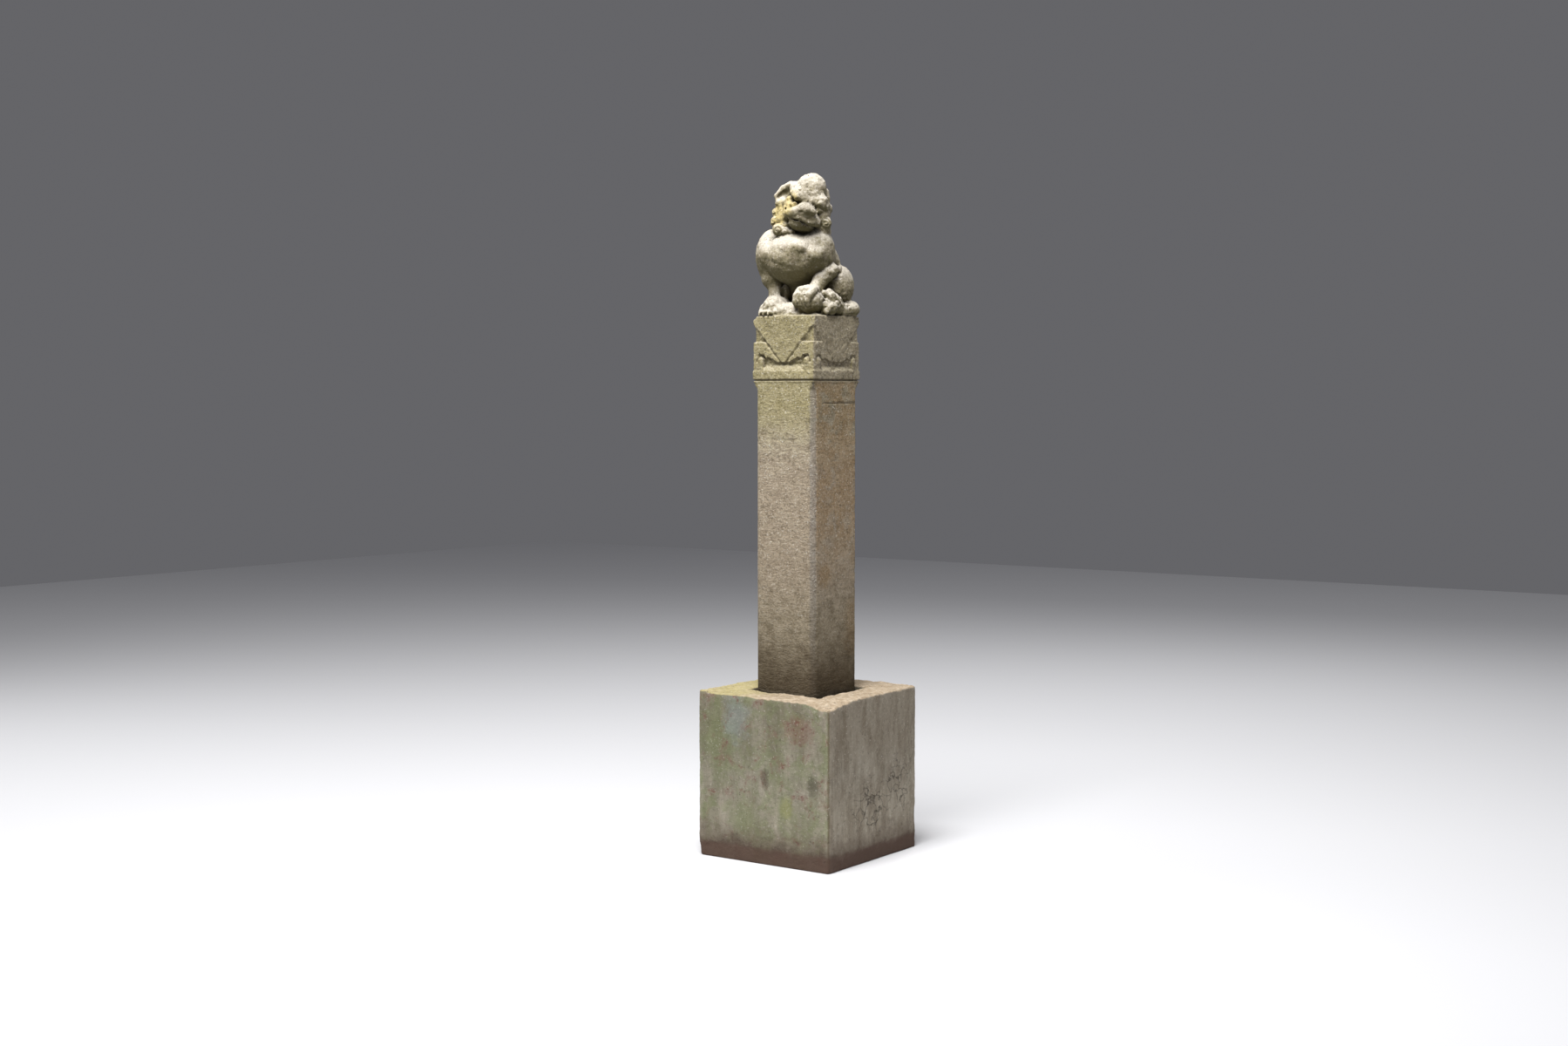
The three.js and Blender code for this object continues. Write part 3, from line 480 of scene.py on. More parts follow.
def carve_skull(head):
    head.add(blob((-2, 22, 4), (52, 56, 60)), 6)
    head.add(blob((-5, -6, 40), (42, 42, 47)), 12)
    head.cut(blob((-34, -48, -4), (17, 13, 9)), 5)
    head.cut(blob((29, -48, -6), (15, 14, 9)), 5)
    head.add(limb([
        (-42, -16, 30, 16),
        (-28, -31, 24, 18),
        (-8, -37, 22, 17),
        (12, -37, 20, 17),
        (30, -29, 16, 18),
        (44, -10, 8, 13),
    ]), 14)
    head.add(blob((-47, -6, 36), (17, 18, 18)), 10)
    head.add(limb([
        (-46, -26, 24, 12),
        (-32, -40, 17, 12),
        (-10, -48, 14, 11),
        (10, -48, 12, 11),
        (28, -41, 8, 12),
        (44, -26, 3, 11),
    ]), 7)
    for side, across, back, up in ((-1, -37, -39, -8), (1, 29, -41, -9)):
        head.add(blob((across, back, up), (9, 8, 7)), 3)
        for lid in (1, -1):
            head.add(limb([
                (across - 10, back + 2, up, 2.5),
                (across, back - 6, up + lid * 5, 2.5),
                (across + 10, back + 2, up, 2.5),
            ]), 2)
        head.add(blob((side * 44 - 4, -8, -26), (22, 30, 34)), 10)
    head.rough(blob((-2, -34, 20), (62, 40, 28)), 9, 2.0, 11)
    head.rough(blob((-2, -10, 44), (56, 52, 48)), 16, 1.4, 12)


def carve_muzzle(head):
    head.add(blob((-7, -40, -34), (44, 34, 26)), 8)
    head.add(blob((-2, -52, -12), (26, 22, 16)), 8)
    head.add(limb([(2, -62, -22, 17), (-26, -60, -27, 16), (-45, -50, -32, 12)]), 9)
    head.add(limb([(6, -62, -30, 15), (22, -54, -40, 14), (33, -44, -42, 12)]), 7)
    head.add(limb([(-14, -70, -16, 9), (4, -75, -16, 11), (20, -69, -18, 9)]), 8)
    for across in (-10, 19):
        head.cut(blob((across, -82, -24), (5, 6, 3.5)), 2)
    head.cut(limb([(-14, -78, -24, 2), (-2, -84, -28, 2.8), (8, -84, -28, 2.8), (23, -77, -24, 2)]), 2)
    head.add(blob((-8, -33, -57), (35, 29, 18)), 4)
    lip = [(-50, -44, -37, 6), (-36, -58, -38, 7), (-16, -68, -39, 7), (2, -69, -42, 7), (16, -66, -47, 7), (28, -55, -49, 6)]
    head.add(limb(lip), 5)
    for back in (0, 7):
        head.cut(limb([
            (-56, -42 + back, -43, 2.6),
            (-38, -59 + back, -46, 3),
            (-17, -68 + back, -47, 3.4),
            (1, -69 + back, -50, 3.6),
            (15, -65 + back, -55, 3.4),
            (26, -56 + back, -57, 3),
            (35, -45 + back, -55, 2.4),
        ]), 1.5)
    head.rough(blob((-4, -56, -30), (52, 40, 40)), 12, 1.1, 13)


def carve_ears(head):
    head.add(limb([(-40, 8, 46, 13), (-62, 8, 43, 11), (-80, 8, 31, 9), (-97, 6, 6, 6)]), 6)
    blade = shift(-72, 10, 18) @ turn("Y", -40)
    head.at(blade).add(blob((0, 0, 0), (28, 8, 22)), 6)
    head.add(limb([(-97, 5, 5, 6), (-88, 4, -8, 6), (-74, 2, -12, 7)]), 4)
    head.cut(limb([(-62, -6, 26, 8), (-74, -4, 17, 10), (-88, -1, 4, 6)]), 2)
    head.add(limb([(31, 12, 46, 10), (39, 8, 28, 10), (43, 6, 8, 9)]), 6)


def carve_mane(head):
    head.add(blob((-58, 0, -50), (26, 22, 44)), 8)
    head.add(blob((-74, 8, -18), (18, 18, 26)), 8)
    head.add(blob((-40, -6, -70), (30, 22, 22)), 8)
    head.add(blob((46, -8, -48), (24, 24, 32)), 8)
    head.add(limb([(-50, -16, 8, 7), (-58, -14, 4, 8), (-66, -10, -6, 7)]), 4)
    head.add(limb([(-54, -20, -12, 7), (-62, -15, -14, 7)]), 3)
    head.cut(blob((-57, -28, -24), (4, 6, 4)), 2)
    head.at(facing((-84, 2, -14), (-0.5, -0.8, 0.2))).add(curl(12, 1, 2), 4)
    head.at(facing((-86, 2, -37), (-0.6, -0.7, 0.1))).add(curl(13), 3)
    head.at(facing((-81, 0, -62), (-0.5, -0.8, 0))).add(curl(16), 3)
    head.add(limb([(-60, -14, -84, 16), (-34, -26, -84, 12)]), 4)
    head.at(facing((-66, -22, -82), (-0.2, -0.95, -0.2))).add(curl(18, 1, 3), 3)
    head.at(facing((-45, -32, -84), (-0.1, -0.95, -0.2))).add(curl(13, -1, 2.6), 3)
    head.at(facing((-29, -32, -82), (0, -0.95, -0.2))).add(curl(10, 1, 2.2), 3)
    head.at(facing((55, -22, -37), (0.15, -0.98, 0))).add(curl(17, -1, 3.2), 3)
    for across, back, up, radius in (
        (30, -16, -84, 13),
        (54, -12, -74, 14),
        (10, -22, -92, 11),
        (42, -6, -100, 12),
        (62, 8, -94, 12),
    ):
        head.at(facing((across, back, up), (0.2, -0.9, -0.2))).add(curl(radius, 1, 2), 3)
    head.rough(blob((-62, -8, -40), (46, 30, 64)), 12, 1.6, 14)
    head.rough(blob((32, -24, -92), (44, 32, 34)), 8, 2.6, 15)
    head.add(blob((-2, 46, -14), (58, 40, 64)), 10)
    for row, up in enumerate((34, 4, -26, -56)):
        count = 4 if row == 0 else 5
        level = math.sqrt(max(0, 1 - ((up + 14) / 70) ** 2))
        for place in range(count):
            around = math.radians((place - (count - 1) / 2) * 33)
            out = (math.sin(around) * 54 * level - 4, 40 + math.cos(around) * 42 * level, up)
            axis = (math.sin(around), math.cos(around), (up + 14) / 70)
            head.at(facing(out, axis)).add(curl(16, 1 if place % 2 else -1, 2.8), 3)


def carve_lion(stone):
    lion = Carver(stone)
    carve_trunk(lion)
    for side in SIDES:
        carve_hind_leg(lion, side)
    carve_standing_leg(lion)
    carve_ball_leg(lion)
    carve_ground(lion)
    carve_rough_ground(lion)
    carve_tail(lion)
    place = shift(*HEAD_MIDDLE) @ turn("Z", HEAD_TURN) @ turn("X", HEAD_NOD) @ turn("Y", HEAD_ROLL)
    head = lion.at(place)
    carve_skull(head)
    carve_muzzle(head)
    carve_ears(head)
    carve_mane(head)


# ---- the capital

def carve_capital(stone):
    """A square block with a hanging cloth, sunk corners, scroll heads and a plain band on every face"""
    post = Carver(stone)
    band_top = -(CAPITAL_HEIGHT - BAND_HEIGHT)
    proud = HALF + BAND_PROUD
    neck = HALF - GROOVE_DEPTH
    # What the lion's forms leave below the capital's top is swallowed by the capital
    post.add(cuboid((-HALF, -HALF, band_top - 4), (HALF, HALF, 0), 2), 1)
    post.add(cuboid((-proud, -proud, -CAPITAL_HEIGHT), (proud, proud, band_top), 1.5), 1)
    post.add(cuboid((-neck, -neck, -CAPITAL_HEIGHT - 40), (neck, neck, -CAPITAL_HEIGHT + 6), 1), 1)
    slope = (CLOTH_TIP - CLOTH_CORNER) / HALF
    for face in range(4):
        side = post.at(turn("Z", 90 * face))
        # The face on the lion's left is more worn than the others
        kept = 0.6 if face == 1 else 1
        for hand in SIDES:
            # The cloth's edge runs down from (HALF, -CLOTH_CORNER) to (0, -CLOTH_TIP)
            beyond = ((-hand * slope, 0, 1), -CLOTH_TIP)
            corner_low = (min(hand * (HALF + 8), 0), -HALF - 8, -LEDGE_DROP)
            corner_high = (max(hand * (HALF + 8), 0), -HALF + kept * RECESS_DEPTH, -CLOTH_CORNER + 10)
            side.cut(wedge(corner_low, corner_high, beyond), 1)
            groove = 4 * kept
            side.cut(limb([
                (hand * (HALF - 10), -HALF - 0.5, -CLOTH_CORNER - 10 * slope, groove - 0.5),
                (hand * 5, -HALF - 0.5, -CLOTH_TIP + 5 * slope, groove),
            ]), 1)
            scroll = hand * SCROLL_OUT
            side.cut(limb([
                (scroll + hand * 13, -HALF, -SCROLL_DROP - 2, 4 * kept),
                (scroll + hand * 6, -HALF, -SCROLL_DROP + 13, 4.5 * kept),
                (scroll - hand * 7, -HALF, -SCROLL_DROP + 11, 6 * kept),
                (scroll - hand * 15, -HALF, -SCROLL_DROP - 4, 7 * kept),
                (scroll - hand * 28, -HALF, -SCROLL_DROP + 2, 7 * kept),
                (scroll - hand * 48, -HALF, -SCROLL_DROP - 8, 7 * kept),
                (scroll - hand * 68, -HALF, -SCROLL_DROP - 16, 5 * kept),
            ]), 2)
        side.cut(wedge(
            (-SCROLL_OUT + 8, -HALF - 10, band_top - 1),
            (SCROLL_OUT - 8, -HALF + kept * UNDERCUT_DEPTH, -SCROLL_DROP - 5),
            ((0, 16, -UNDERCUT_DEPTH), -16 * HALF - UNDERCUT_DEPTH * band_top),
        ), 2)
        for hand in SIDES:
            side.add(blob((hand * SCROLL_OUT, -HALF + 3, -SCROLL_DROP - 2), (SCROLL_RADIUS, 6, SCROLL_RADIUS + 3)), 2)
        side.cut(limb([(-HALF - 8, -proud - 0.5, band_top + 2, 2.2), (HALF + 8, -proud - 0.5, band_top + 2, 2.2)]), 1)
        for hand in SIDES:
            nick = blob((hand * HALF, -HALF, -58), (7, 7, 12))
            side.cut(nick, 3)
    post.cut(blob((-HALF - 3, -HALF - 3, 2), (14, 14, 12)), 4)
    post.cut(blob((HALF, -HALF, -4), (7, 7, 22)), 4)
    post.rough(blob((0, 0, -80), (190, 190, 140)), 12, 0.9, 21)


# ---- meshes

def mesh_object(name, points, faces):
    """A mesh object from points in metres and faces with equal numbers of corners"""
    mesh = bpy.data.meshes.new(name)
    corners = faces.shape[1]
    mesh.vertices.add(len(points))
    mesh.vertices.foreach_set("co", np.asarray(points, np.float32).ravel())
    mesh.loops.add(faces.size)
    mesh.loops.foreach_set("vertex_index", faces.astype(np.int32).ravel())
    mesh.polygons.add(len(faces))
    mesh.polygons.foreach_set("loop_start", np.arange(0, faces.size, corners, dtype=np.int32))
    mesh.update(calc_edges=True)
    piece = bpy.data.objects.new(name, mesh)
    bpy.context.scene.collection.objects.link(piece)
    return piece


def vertex_places(mesh):
    points = np.empty(len(mesh.vertices) * 3, np.float32)
    mesh.vertices.foreach_get("co", points)
    return points.reshape(-1, 3).astype(float)


def vertex_normals(mesh):
    normals = np.empty(len(mesh.vertices) * 3, np.float32)
    mesh.vertex_normals.foreach_get("vector", normals)
    return normals.reshape(-1, 3)


def move_vertices(mesh, points):
    mesh.vertices.foreach_set("co", np.asarray(points, np.float32).ravel())
    mesh.update()


def baked(piece):
    """The piece with its modifiers made part of its mesh"""
    evaluated = piece.evaluated_get(bpy.context.evaluated_depsgraph_get())
    mesh = bpy.data.meshes.new_from_object(evaluated)
    piece.modifiers.clear()
    old = piece.data
    piece.data = mesh
    bpy.data.meshes.remove(old)
    return piece


def thin_out(piece, triangles):
    """Folds up the least needed edges until about that many triangles are left"""
    mesh = piece.data
    now = sum(len(polygon.vertices) - 2 for polygon in mesh.polygons)
    modifier = piece.modifiers.new("thin_out", "DECIMATE")
    modifier.ratio = min(1, triangles / now)
    return baked(piece)


def largest_shell(points, quads):
    """Drops every surface that isn't joined to the main one, such as a pocket inside the stone"""
    group = np.arange(len(points))
    pairs = np.concatenate([quads[:, [0, 1]], quads[:, [1, 2]], quads[:, [2, 3]]])
    while True:
        low = np.minimum(group[pairs[:, 0]], group[pairs[:, 1]])
        before = group.copy()
        np.minimum.at(group, pairs[:, 0], low)
        np.minimum.at(group, pairs[:, 1], low)
        group = group[group]
        if np.array_equal(before, group):
            break
    kept = group == np.bincount(group).argmax()
    number = np.cumsum(kept) - 1
    return points[kept], number[quads[kept[quads[:, 0]]]]


def paint(mesh, name, values):
    layer = mesh.attributes.new(name, "FLOAT", "POINT")
    layer.data.foreach_set("value", np.asarray(values, np.float32))


# ---- the post, in its own place and in mm until it is finished

def carve_upper():
    """The lion and the capital, open underneath where the shaft is joined on"""
    stone = Stone((-146, -140, SHAFT_TOP + 1), (146, 136, 400), LION_STEP)
    carve_lion(stone)
    stone.field[:, :, stone.axes[2] < 0] = 60
    carve_capital(stone)
    points, quads = largest_shell(*stone.surface())
    piece = mesh_object("upper", points, quads)
    normals = vertex_normals(piece.data)
    worn = ease(points[:, 2], -20, 10)
    rough = (0.6 + 0.4 * worn) * noise(points, 16, 1) + 0.65 * noise(points, 7, 2)
    grains = noise(points, 4.5, 3)
    rough = rough - 1.1 * ease(grains, 0.45, 0.8) + 0.35 * ease(-grains, 0.4, 0.8)
    held = ease(points[:, 2], SHAFT_TOP + 3, SHAFT_TOP + 8)
    move_vertices(piece.data, points + normals * (rough * held)[:, None])
    return thin_out(piece, LION_TRIANGLES), stone


# ---- node trees

def put(tree, kind, *values, out=0, named=None, **settings):
    """Adds a node, gives its inputs values or links in order or by name, and returns an output"""
    node = tree.nodes.new(kind)
    for setting, value in settings.items():
        setattr(node, setting, value)
    slots = list(zip(node.inputs, values))
    slots += [(node.inputs[name], value) for name, value in (named or {}).items()]
    for slot, value in slots:
        if isinstance(value, bpy.types.NodeSocket):
            tree.links.new(value, slot)
        elif value is not None:
            slot.default_value = value
    return node.outputs[out]


def maths(tree, operation, *values):
    return put(tree, "ShaderNodeMath", *values, operation=operation)


def new_tree(name, kind, inputs, outputs):
    """A node group with named sockets, its input node's outputs by name, and its output node"""
    tree = bpy.data.node_groups.new(name, kind)
    for socket, socket_kind, value in inputs:
        made = tree.interface.new_socket(socket, in_out="INPUT", socket_type=socket_kind)
        if value is not None:
            made.default_value = value
    for socket, socket_kind in outputs:
        tree.interface.new_socket(socket, in_out="OUTPUT", socket_type=socket_kind)
    given = tree.nodes.new("NodeGroupInput").outputs
    result = tree.nodes.new("NodeGroupOutput").inputs
    return tree, given, result


def shaft_tree():
    """A square shaft with chamfered corners that run out at the top, dressed in level tool grooves"""
    tree, given, result = new_tree(
        "dressed_shaft",
        "GeometryNodeTree",
        [
            ("Half Side", "NodeSocketFloat", HALF),
            ("Chamfer", "NodeSocketFloat", CHAMFER),
            ("Chamfer Stop", "NodeSocketFloat", CHAMFER_STOP),
            ("Foot", "NodeSocketFloat", SHAFT_FOOT),
            ("Socket Lip", "NodeSocketFloat", BLOCK_HEIGHT - 30 - CAPITAL_TOP),
            ("Top", "NodeSocketFloat", SHAFT_TOP),
            ("Neck", "NodeSocketFloat", HALF - GROOVE_DEPTH),
            ("Rows", "NodeSocketInt", 320),
            ("Hidden Rows", "NodeSocketInt", 8),
            ("Columns", "NodeSocketInt", 26),
            ("Groove Depth", "NodeSocketFloat", 0.9),
            ("Seed", "NodeSocketFloat", 4.0),
            ("Material", "NodeSocketMaterial", None),
        ],
        [("Geometry", "NodeSocketGeometry")],
    )
    columns = given["Columns"]
    rows = given["Rows"]
    strip = maths(tree, "ADD", columns, 2)
    across_count = maths(tree, "ADD", maths(tree, "MULTIPLY", strip, 4), 1)
    grid = put(tree, "GeometryNodeMeshGrid", 1.0, 1.0, across_count, rows)
    index = put(tree, "GeometryNodeInputIndex")
    column = maths(tree, "FLOOR", maths(tree, "DIVIDE", maths(tree, "ADD", index, 0.5), rows))
    row = maths(tree, "SUBTRACT", index, maths(tree, "MULTIPLY", column, rows))
    face = maths(tree, "FLOOR", maths(tree, "DIVIDE", maths(tree, "ADD", column, 0.5), strip))
    place = maths(tree, "SUBTRACT", column, maths(tree, "MULTIPLY", face, strip))
    # Heights: the first row is the middle of the foot and the last one the neck
    level = maths(tree, "SUBTRACT", row, 1)
    last = maths(tree, "SUBTRACT", rows, 3)
    hidden = given["Hidden Rows"]
    low_share = maths(tree, "MINIMUM", maths(tree, "DIVIDE", level, hidden), 1)
    high_share = maths(
        tree,
        "DIVIDE",
        maths(tree, "MAXIMUM", maths(tree, "SUBTRACT", level, hidden), 0),
        maths(tree, "SUBTRACT", last, hidden),
    )
    high_share = maths(tree, "MINIMUM", high_share, 1)
    low_rise = maths(tree, "SUBTRACT", given["Socket Lip"], given["Foot"])
    high_rise = maths(tree, "SUBTRACT", given["Top"], given["Socket Lip"])
    height = maths(tree, "MULTIPLY_ADD", maths(tree, "MAXIMUM", low_share, 0), low_rise, given["Foot"])
    height = maths(tree, "MULTIPLY_ADD", high_share, high_rise, height)
    # The outline at this height
    under = maths(tree, "DIVIDE", maths(tree, "SUBTRACT", given["Top"], height), given["Chamfer Stop"])
    chamfer = maths(tree, "MULTIPLY", maths(tree, "MINIMUM", under, 1), given["Chamfer"])
    flat = maths(tree, "SUBTRACT", given["Half Side"], chamfer)
    share = maths(tree, "DIVIDE", maths(tree, "SUBTRACT", place, 1), columns)
    along = maths(tree, "MULTIPLY", flat, maths(tree, "MULTIPLY_ADD", share, 2, -1))
    corner = maths(tree, "COMPARE", place, 0, 0.1)
    half_chamfer = maths(tree, "MULTIPLY", chamfer, 0.5)
    corner_along = maths(tree, "SUBTRACT", half_chamfer, given["Half Side"])
    along = put(tree, "ShaderNodeMix", corner, named={"A": along, "B": corner_along})
    reach = maths(tree, "SUBTRACT", maths(tree, "MULTIPLY", given["Half Side"], 2), chamfer)
    out = maths(
        tree,
        "MINIMUM",
        maths(tree, "SUBTRACT", reach, maths(tree, "ABSOLUTE", along)),
        given["Half Side"],
    )
    # Every other row is a groove, deeper here and shallower there
    spot = put(tree, "ShaderNodeCombineXYZ", maths(tree, "MULTIPLY", along, 0.03),
               maths(tree, "MODULO", face, 4), maths(tree, "MULTIPLY", height, 0.16))
    beat = put(tree, "ShaderNodeTexNoise", noise_dimensions="4D",
               named={"Vector": spot, "W": given["Seed"], "Scale": 1.0, "Detail": 3.0})
    odd = maths(tree, "MODULO", row, 2)
    strike = maths(tree, "MAXIMUM", maths(tree, "MULTIPLY_ADD", beat, 3.2, -1.0), 0)
    groove = maths(tree, "MULTIPLY", maths(tree, "MULTIPLY", odd, strike), given["Groove Depth"])
    wall = maths(tree, "MULTIPLY", maths(tree, "GREATER_THAN", level, 0.5),
                 maths(tree, "LESS_THAN", level, maths(tree, "SUBTRACT", last, 0.5)))
    groove = maths(tree, "MULTIPLY", groove, wall)
    out = maths(tree, "SUBTRACT", out, groove)
    sway = put(tree, "ShaderNodeTexNoise", noise_dimensions="4D",
               named={"Vector": spot, "W": maths(tree, "ADD", given["Seed"], 9.0), "Scale": 0.7, "Detail": 1.0})
    sway = maths(tree, "MULTIPLY", maths(tree, "MULTIPLY_ADD", sway, 4.0, -2.0), wall)
    height = maths(tree, "ADD", height, sway)
    # The two end rows close the foot and draw in to the neck
    foot_row = maths(tree, "LESS_THAN", row, 0.5)
    neck_row = maths(tree, "GREATER_THAN", level, maths(tree, "ADD", last, 0.5))
    neck_share = maths(tree, "DIVIDE", given["Neck"], given["Half Side"])
    draw_in = put(tree, "ShaderNodeMix", neck_row, named={"A": 1.0, "B": neck_share})
    draw_in = maths(tree, "MULTIPLY", draw_in, maths(tree, "SUBTRACT", 1, foot_row))
    turned = put(
        tree,
        "ShaderNodeVectorRotate",
        rotation_type="Z_AXIS",
        named={
            "Vector": put(
                tree,
                "ShaderNodeCombineXYZ",
                maths(tree, "MULTIPLY", out, draw_in),
                maths(tree, "MULTIPLY", along, draw_in),
                height,
            ),
            "Angle": maths(tree, "MULTIPLY", face, math.pi / 2),
        },
    )
    moved = put(tree, "GeometryNodeSetPosition", grid, None, turned)
    welded = put(tree, "GeometryNodeMergeByDistance", moved, named={"Distance": 0.01})
    real = put(tree, "GeometryNodeRealizeInstances", welded)
    tree.links.new(put(tree, "GeometryNodeSetMaterial", real, None, given["Material"]), result[0])
    return tree


def dressed_shaft(material, **sizes):
    piece = mesh_object("shaft", np.zeros((3, 3)), np.array([[0, 1, 2]]))
    tree = shaft_tree()
    modifier = piece.modifiers.new("dressed_shaft", "NODES")
    modifier.node_group = tree
    identifiers = {item.name: item.identifier for item in tree.interface.items_tree if item.in_out == "INPUT"}
    for name, value in {"Material": material, **sizes}.items():
        modifier[identifiers[name]] = value
    return baked(piece)


def mark_shaft(mesh):
    """Wear on the arrises, hollows in the faces, and the few odd cuts that the tool has left"""
    points = vertex_places(mesh)
    x, y, z = points.T
    wall = ease(z, SHAFT_FOOT + 1, SHAFT_FOOT + 4) * (1 - ease(z, SHAFT_TOP - 6, SHAFT_TOP - 3))
    inwards = np.stack([-np.sign(x) * (abs(x) > HALF - 4), -np.sign(y) * (abs(y) > HALF - 4), 0 * z], 1)
    arris = ease(np.minimum(abs(x), abs(y)), HALF - CHAMFER - 10, HALF - CHAMFER)
    dents = 0.7 * (1 + noise(points, 60, 11)) + 0.5 * (1 + noise(points, 14, 12))
    dents = dents + 2.2 * arris * ease(noise(points, 18, 13), 0.3, 0.9)
    # The long level cut on the lion's left, the short scar and the fine upright line on the front
    cut = (x > HALF - 4) * (abs(z + 236) < 1.7) * ease(-y, -90, -86) * ease(y, -62, -58)
    scar = (y < -HALF + 4) * (abs(z + 337) < 3.5) * ease(x, -60, -50) * ease(-x, -56, -46)
    line = (y < -HALF + 4) * (abs(x - 44) < 2.4) * ease(z, -262, -256) * ease(-z, 222, 228)
    dents = dents + 2.6 * cut + 1.2 * scar + 0.9 * line
    points += inwards * (dents * wall)[:, None]
    move_vertices(mesh, points)


def join_shaft(upper, shaft):
    """One closed stone: the shaft's open neck is bridged to the open underside of the upper part"""
    joined = bmesh.new()
    joined.from_mesh(shaft.data)
    joined.from_mesh(upper.data)
    joined.verts.ensure_lookup_table()
    rim = [edge for edge in joined.edges if edge.is_boundary]
    bmesh.ops.bridge_loops(joined, edges=rim)
    bmesh.ops.triangulate(joined, faces=joined.faces[:])
    mesh = bpy.data.meshes.new("guardian_post_stone")
    joined.to_mesh(mesh)
    joined.free()
    for piece in (upper, shaft):
        bpy.data.objects.remove(piece)
    piece = bpy.data.objects.new("guardian_post_stone", mesh)
    bpy.context.scene.collection.objects.link(piece)
    return piece


def carve_guardian_post(material):
    upper, stone = carve_upper()
    shaft = dressed_shaft(material)
    mark_shaft(shaft.data)
    piece = join_shaft(upper, shaft)
    mesh = piece.data
    points = vertex_places(mesh)
    above = points[:, 2] > SHAFT_TOP + 6
    near = np.where(above, stone.sample(stone.filled(7), points), 0.5)
    far = np.where(above, stone.sample(stone.filled(26), points), 0.5)
    # The hollow and shelter measures feed painted shade in the stone's material; the groove under the capital gets
    # extra painted shade
    groove = ease(-abs(points[:, 2] - SHAFT_TOP - 2), -5, -1)
    paint(mesh, "hollow", np.clip((near - 0.5) * 3, -1, 1) + 0.3 * groove)
    paint(mesh, "shelter", np.clip((far - 0.5) * 3, -1, 1))
    move_vertices(mesh, (points @ POST_PLACE[:3, :3].T + POST_PLACE[:3, 3]) * MM)
    finish_stone(piece, material)
    return piece


def finish_stone(piece, material):
    mesh = piece.data
    mesh.materials.clear()
    mesh.materials.append(material)
    mesh.polygons.foreach_set("material_index", np.zeros(len(mesh.polygons), np.int32))
    mesh.polygons.foreach_set("use_smooth", np.ones(len(mesh.polygons), bool))
    mesh.update()


# ---- the block

def smooth_max(a, b, blend):
    return -smooth_min(-a, -b, blend)


def top_level(x, y):
    """How high the block's broken top is: a little lower on the right, and knocked away at the front corner"""
    spot = np.stack(np.broadcast_arrays(x, y, 0 * x), -1)
    edge = BLOCK_SIDE / 2
    level = BLOCK_HEIGHT - 2 - 2.5 * (x - y) / edge
    level = level + 1.8 * noise(spot, 55, 21) + 1.3 * noise(spot, 22, 22) + 0.8 * noise(spot, 9, 23)
    corner = np.hypot((edge - x) / 72, (edge + y) / 96)
    broken = 1 - ease(corner + 0.18 * noise(spot, 24, 24), 0.1, 1.15)
    level = level - broken * (17 + 3 * noise(spot, 16, 25))
    nib = ease(-x, edge - 34, edge - 26) * ease(-y, edge - 16, edge - 10)
    return level + 4 * nib


def carve_block(stone):
    x, y, z = np.ix_(*stone.axes)
    edge = BLOCK_SIDE / 2 - 0.8
    sides = []
    for axis, along in ((0, y), (1, x)):
        for hand in SIDES:
            spot = np.stack(np.broadcast_arrays(along, z, hand * 300.0), -1)
            rough = 0.7 * noise(spot, 90, 31 + axis) + 0.5 * noise(spot, 20, 33 + axis) + 0.3 * noise(spot, 9, 35)
            sides.append(hand * (x if axis == 0 else y) - edge + 0.9 + rough)
    body = smooth_max(np.maximum(sides[0], sides[1]), np.maximum(sides[2], sides[3]), 16)
    body = smooth_max(body, z - top_level(x, y), 9)
    stone.field = smooth_max(body, 0.0 - z, 4).astype(np.float32)
    block = Carver(stone)
    rim = SOCKET_SIDE / 2
    block.cut(cuboid((-rim, -rim, BLOCK_HEIGHT - SOCKET_DEPTH), (rim, rim, BLOCK_HEIGHT + 60), 3), 5)
    top = BLOCK_HEIGHT
    for middle, radii in (
        ((edge * 0.35, -edge - 6, top + 4), (70, 14, 9)),
        ((-edge * 0.7, -edge - 5, top + 6), (40, 12, 10)),
        ((edge + 4, -edge * 0.55, top + 4), (14, 60, 10)),
        ((edge, edge * 0.6, top + 6), (16, 50, 11)),
        ((-edge - 4, edge * 0.2, top + 6), (14, 60, 12)),
        ((-edge - 6, -edge - 6, 6), (18, 18, 40)),
        ((-edge - 4, edge + 4, top - 60), (16, 16, 50)),
        ((edge + 5, edge + 5, 90), (14, 14, 44)),
        ((rim, -rim, top + 4), (18, 18, 12)),
        ((-rim * 0.4, -rim, top + 6), (40, 10, 12)),
        ((rim, rim * 0.3, top + 6), (10, 46, 12)),
        ((-rim, rim * 0.8, top + 6), (12, 24, 12)),
        ((edge * 0.1, edge + 5, top + 3), (90, 12, 10)),
    ):
        block.cut(blob(middle, radii), 6)


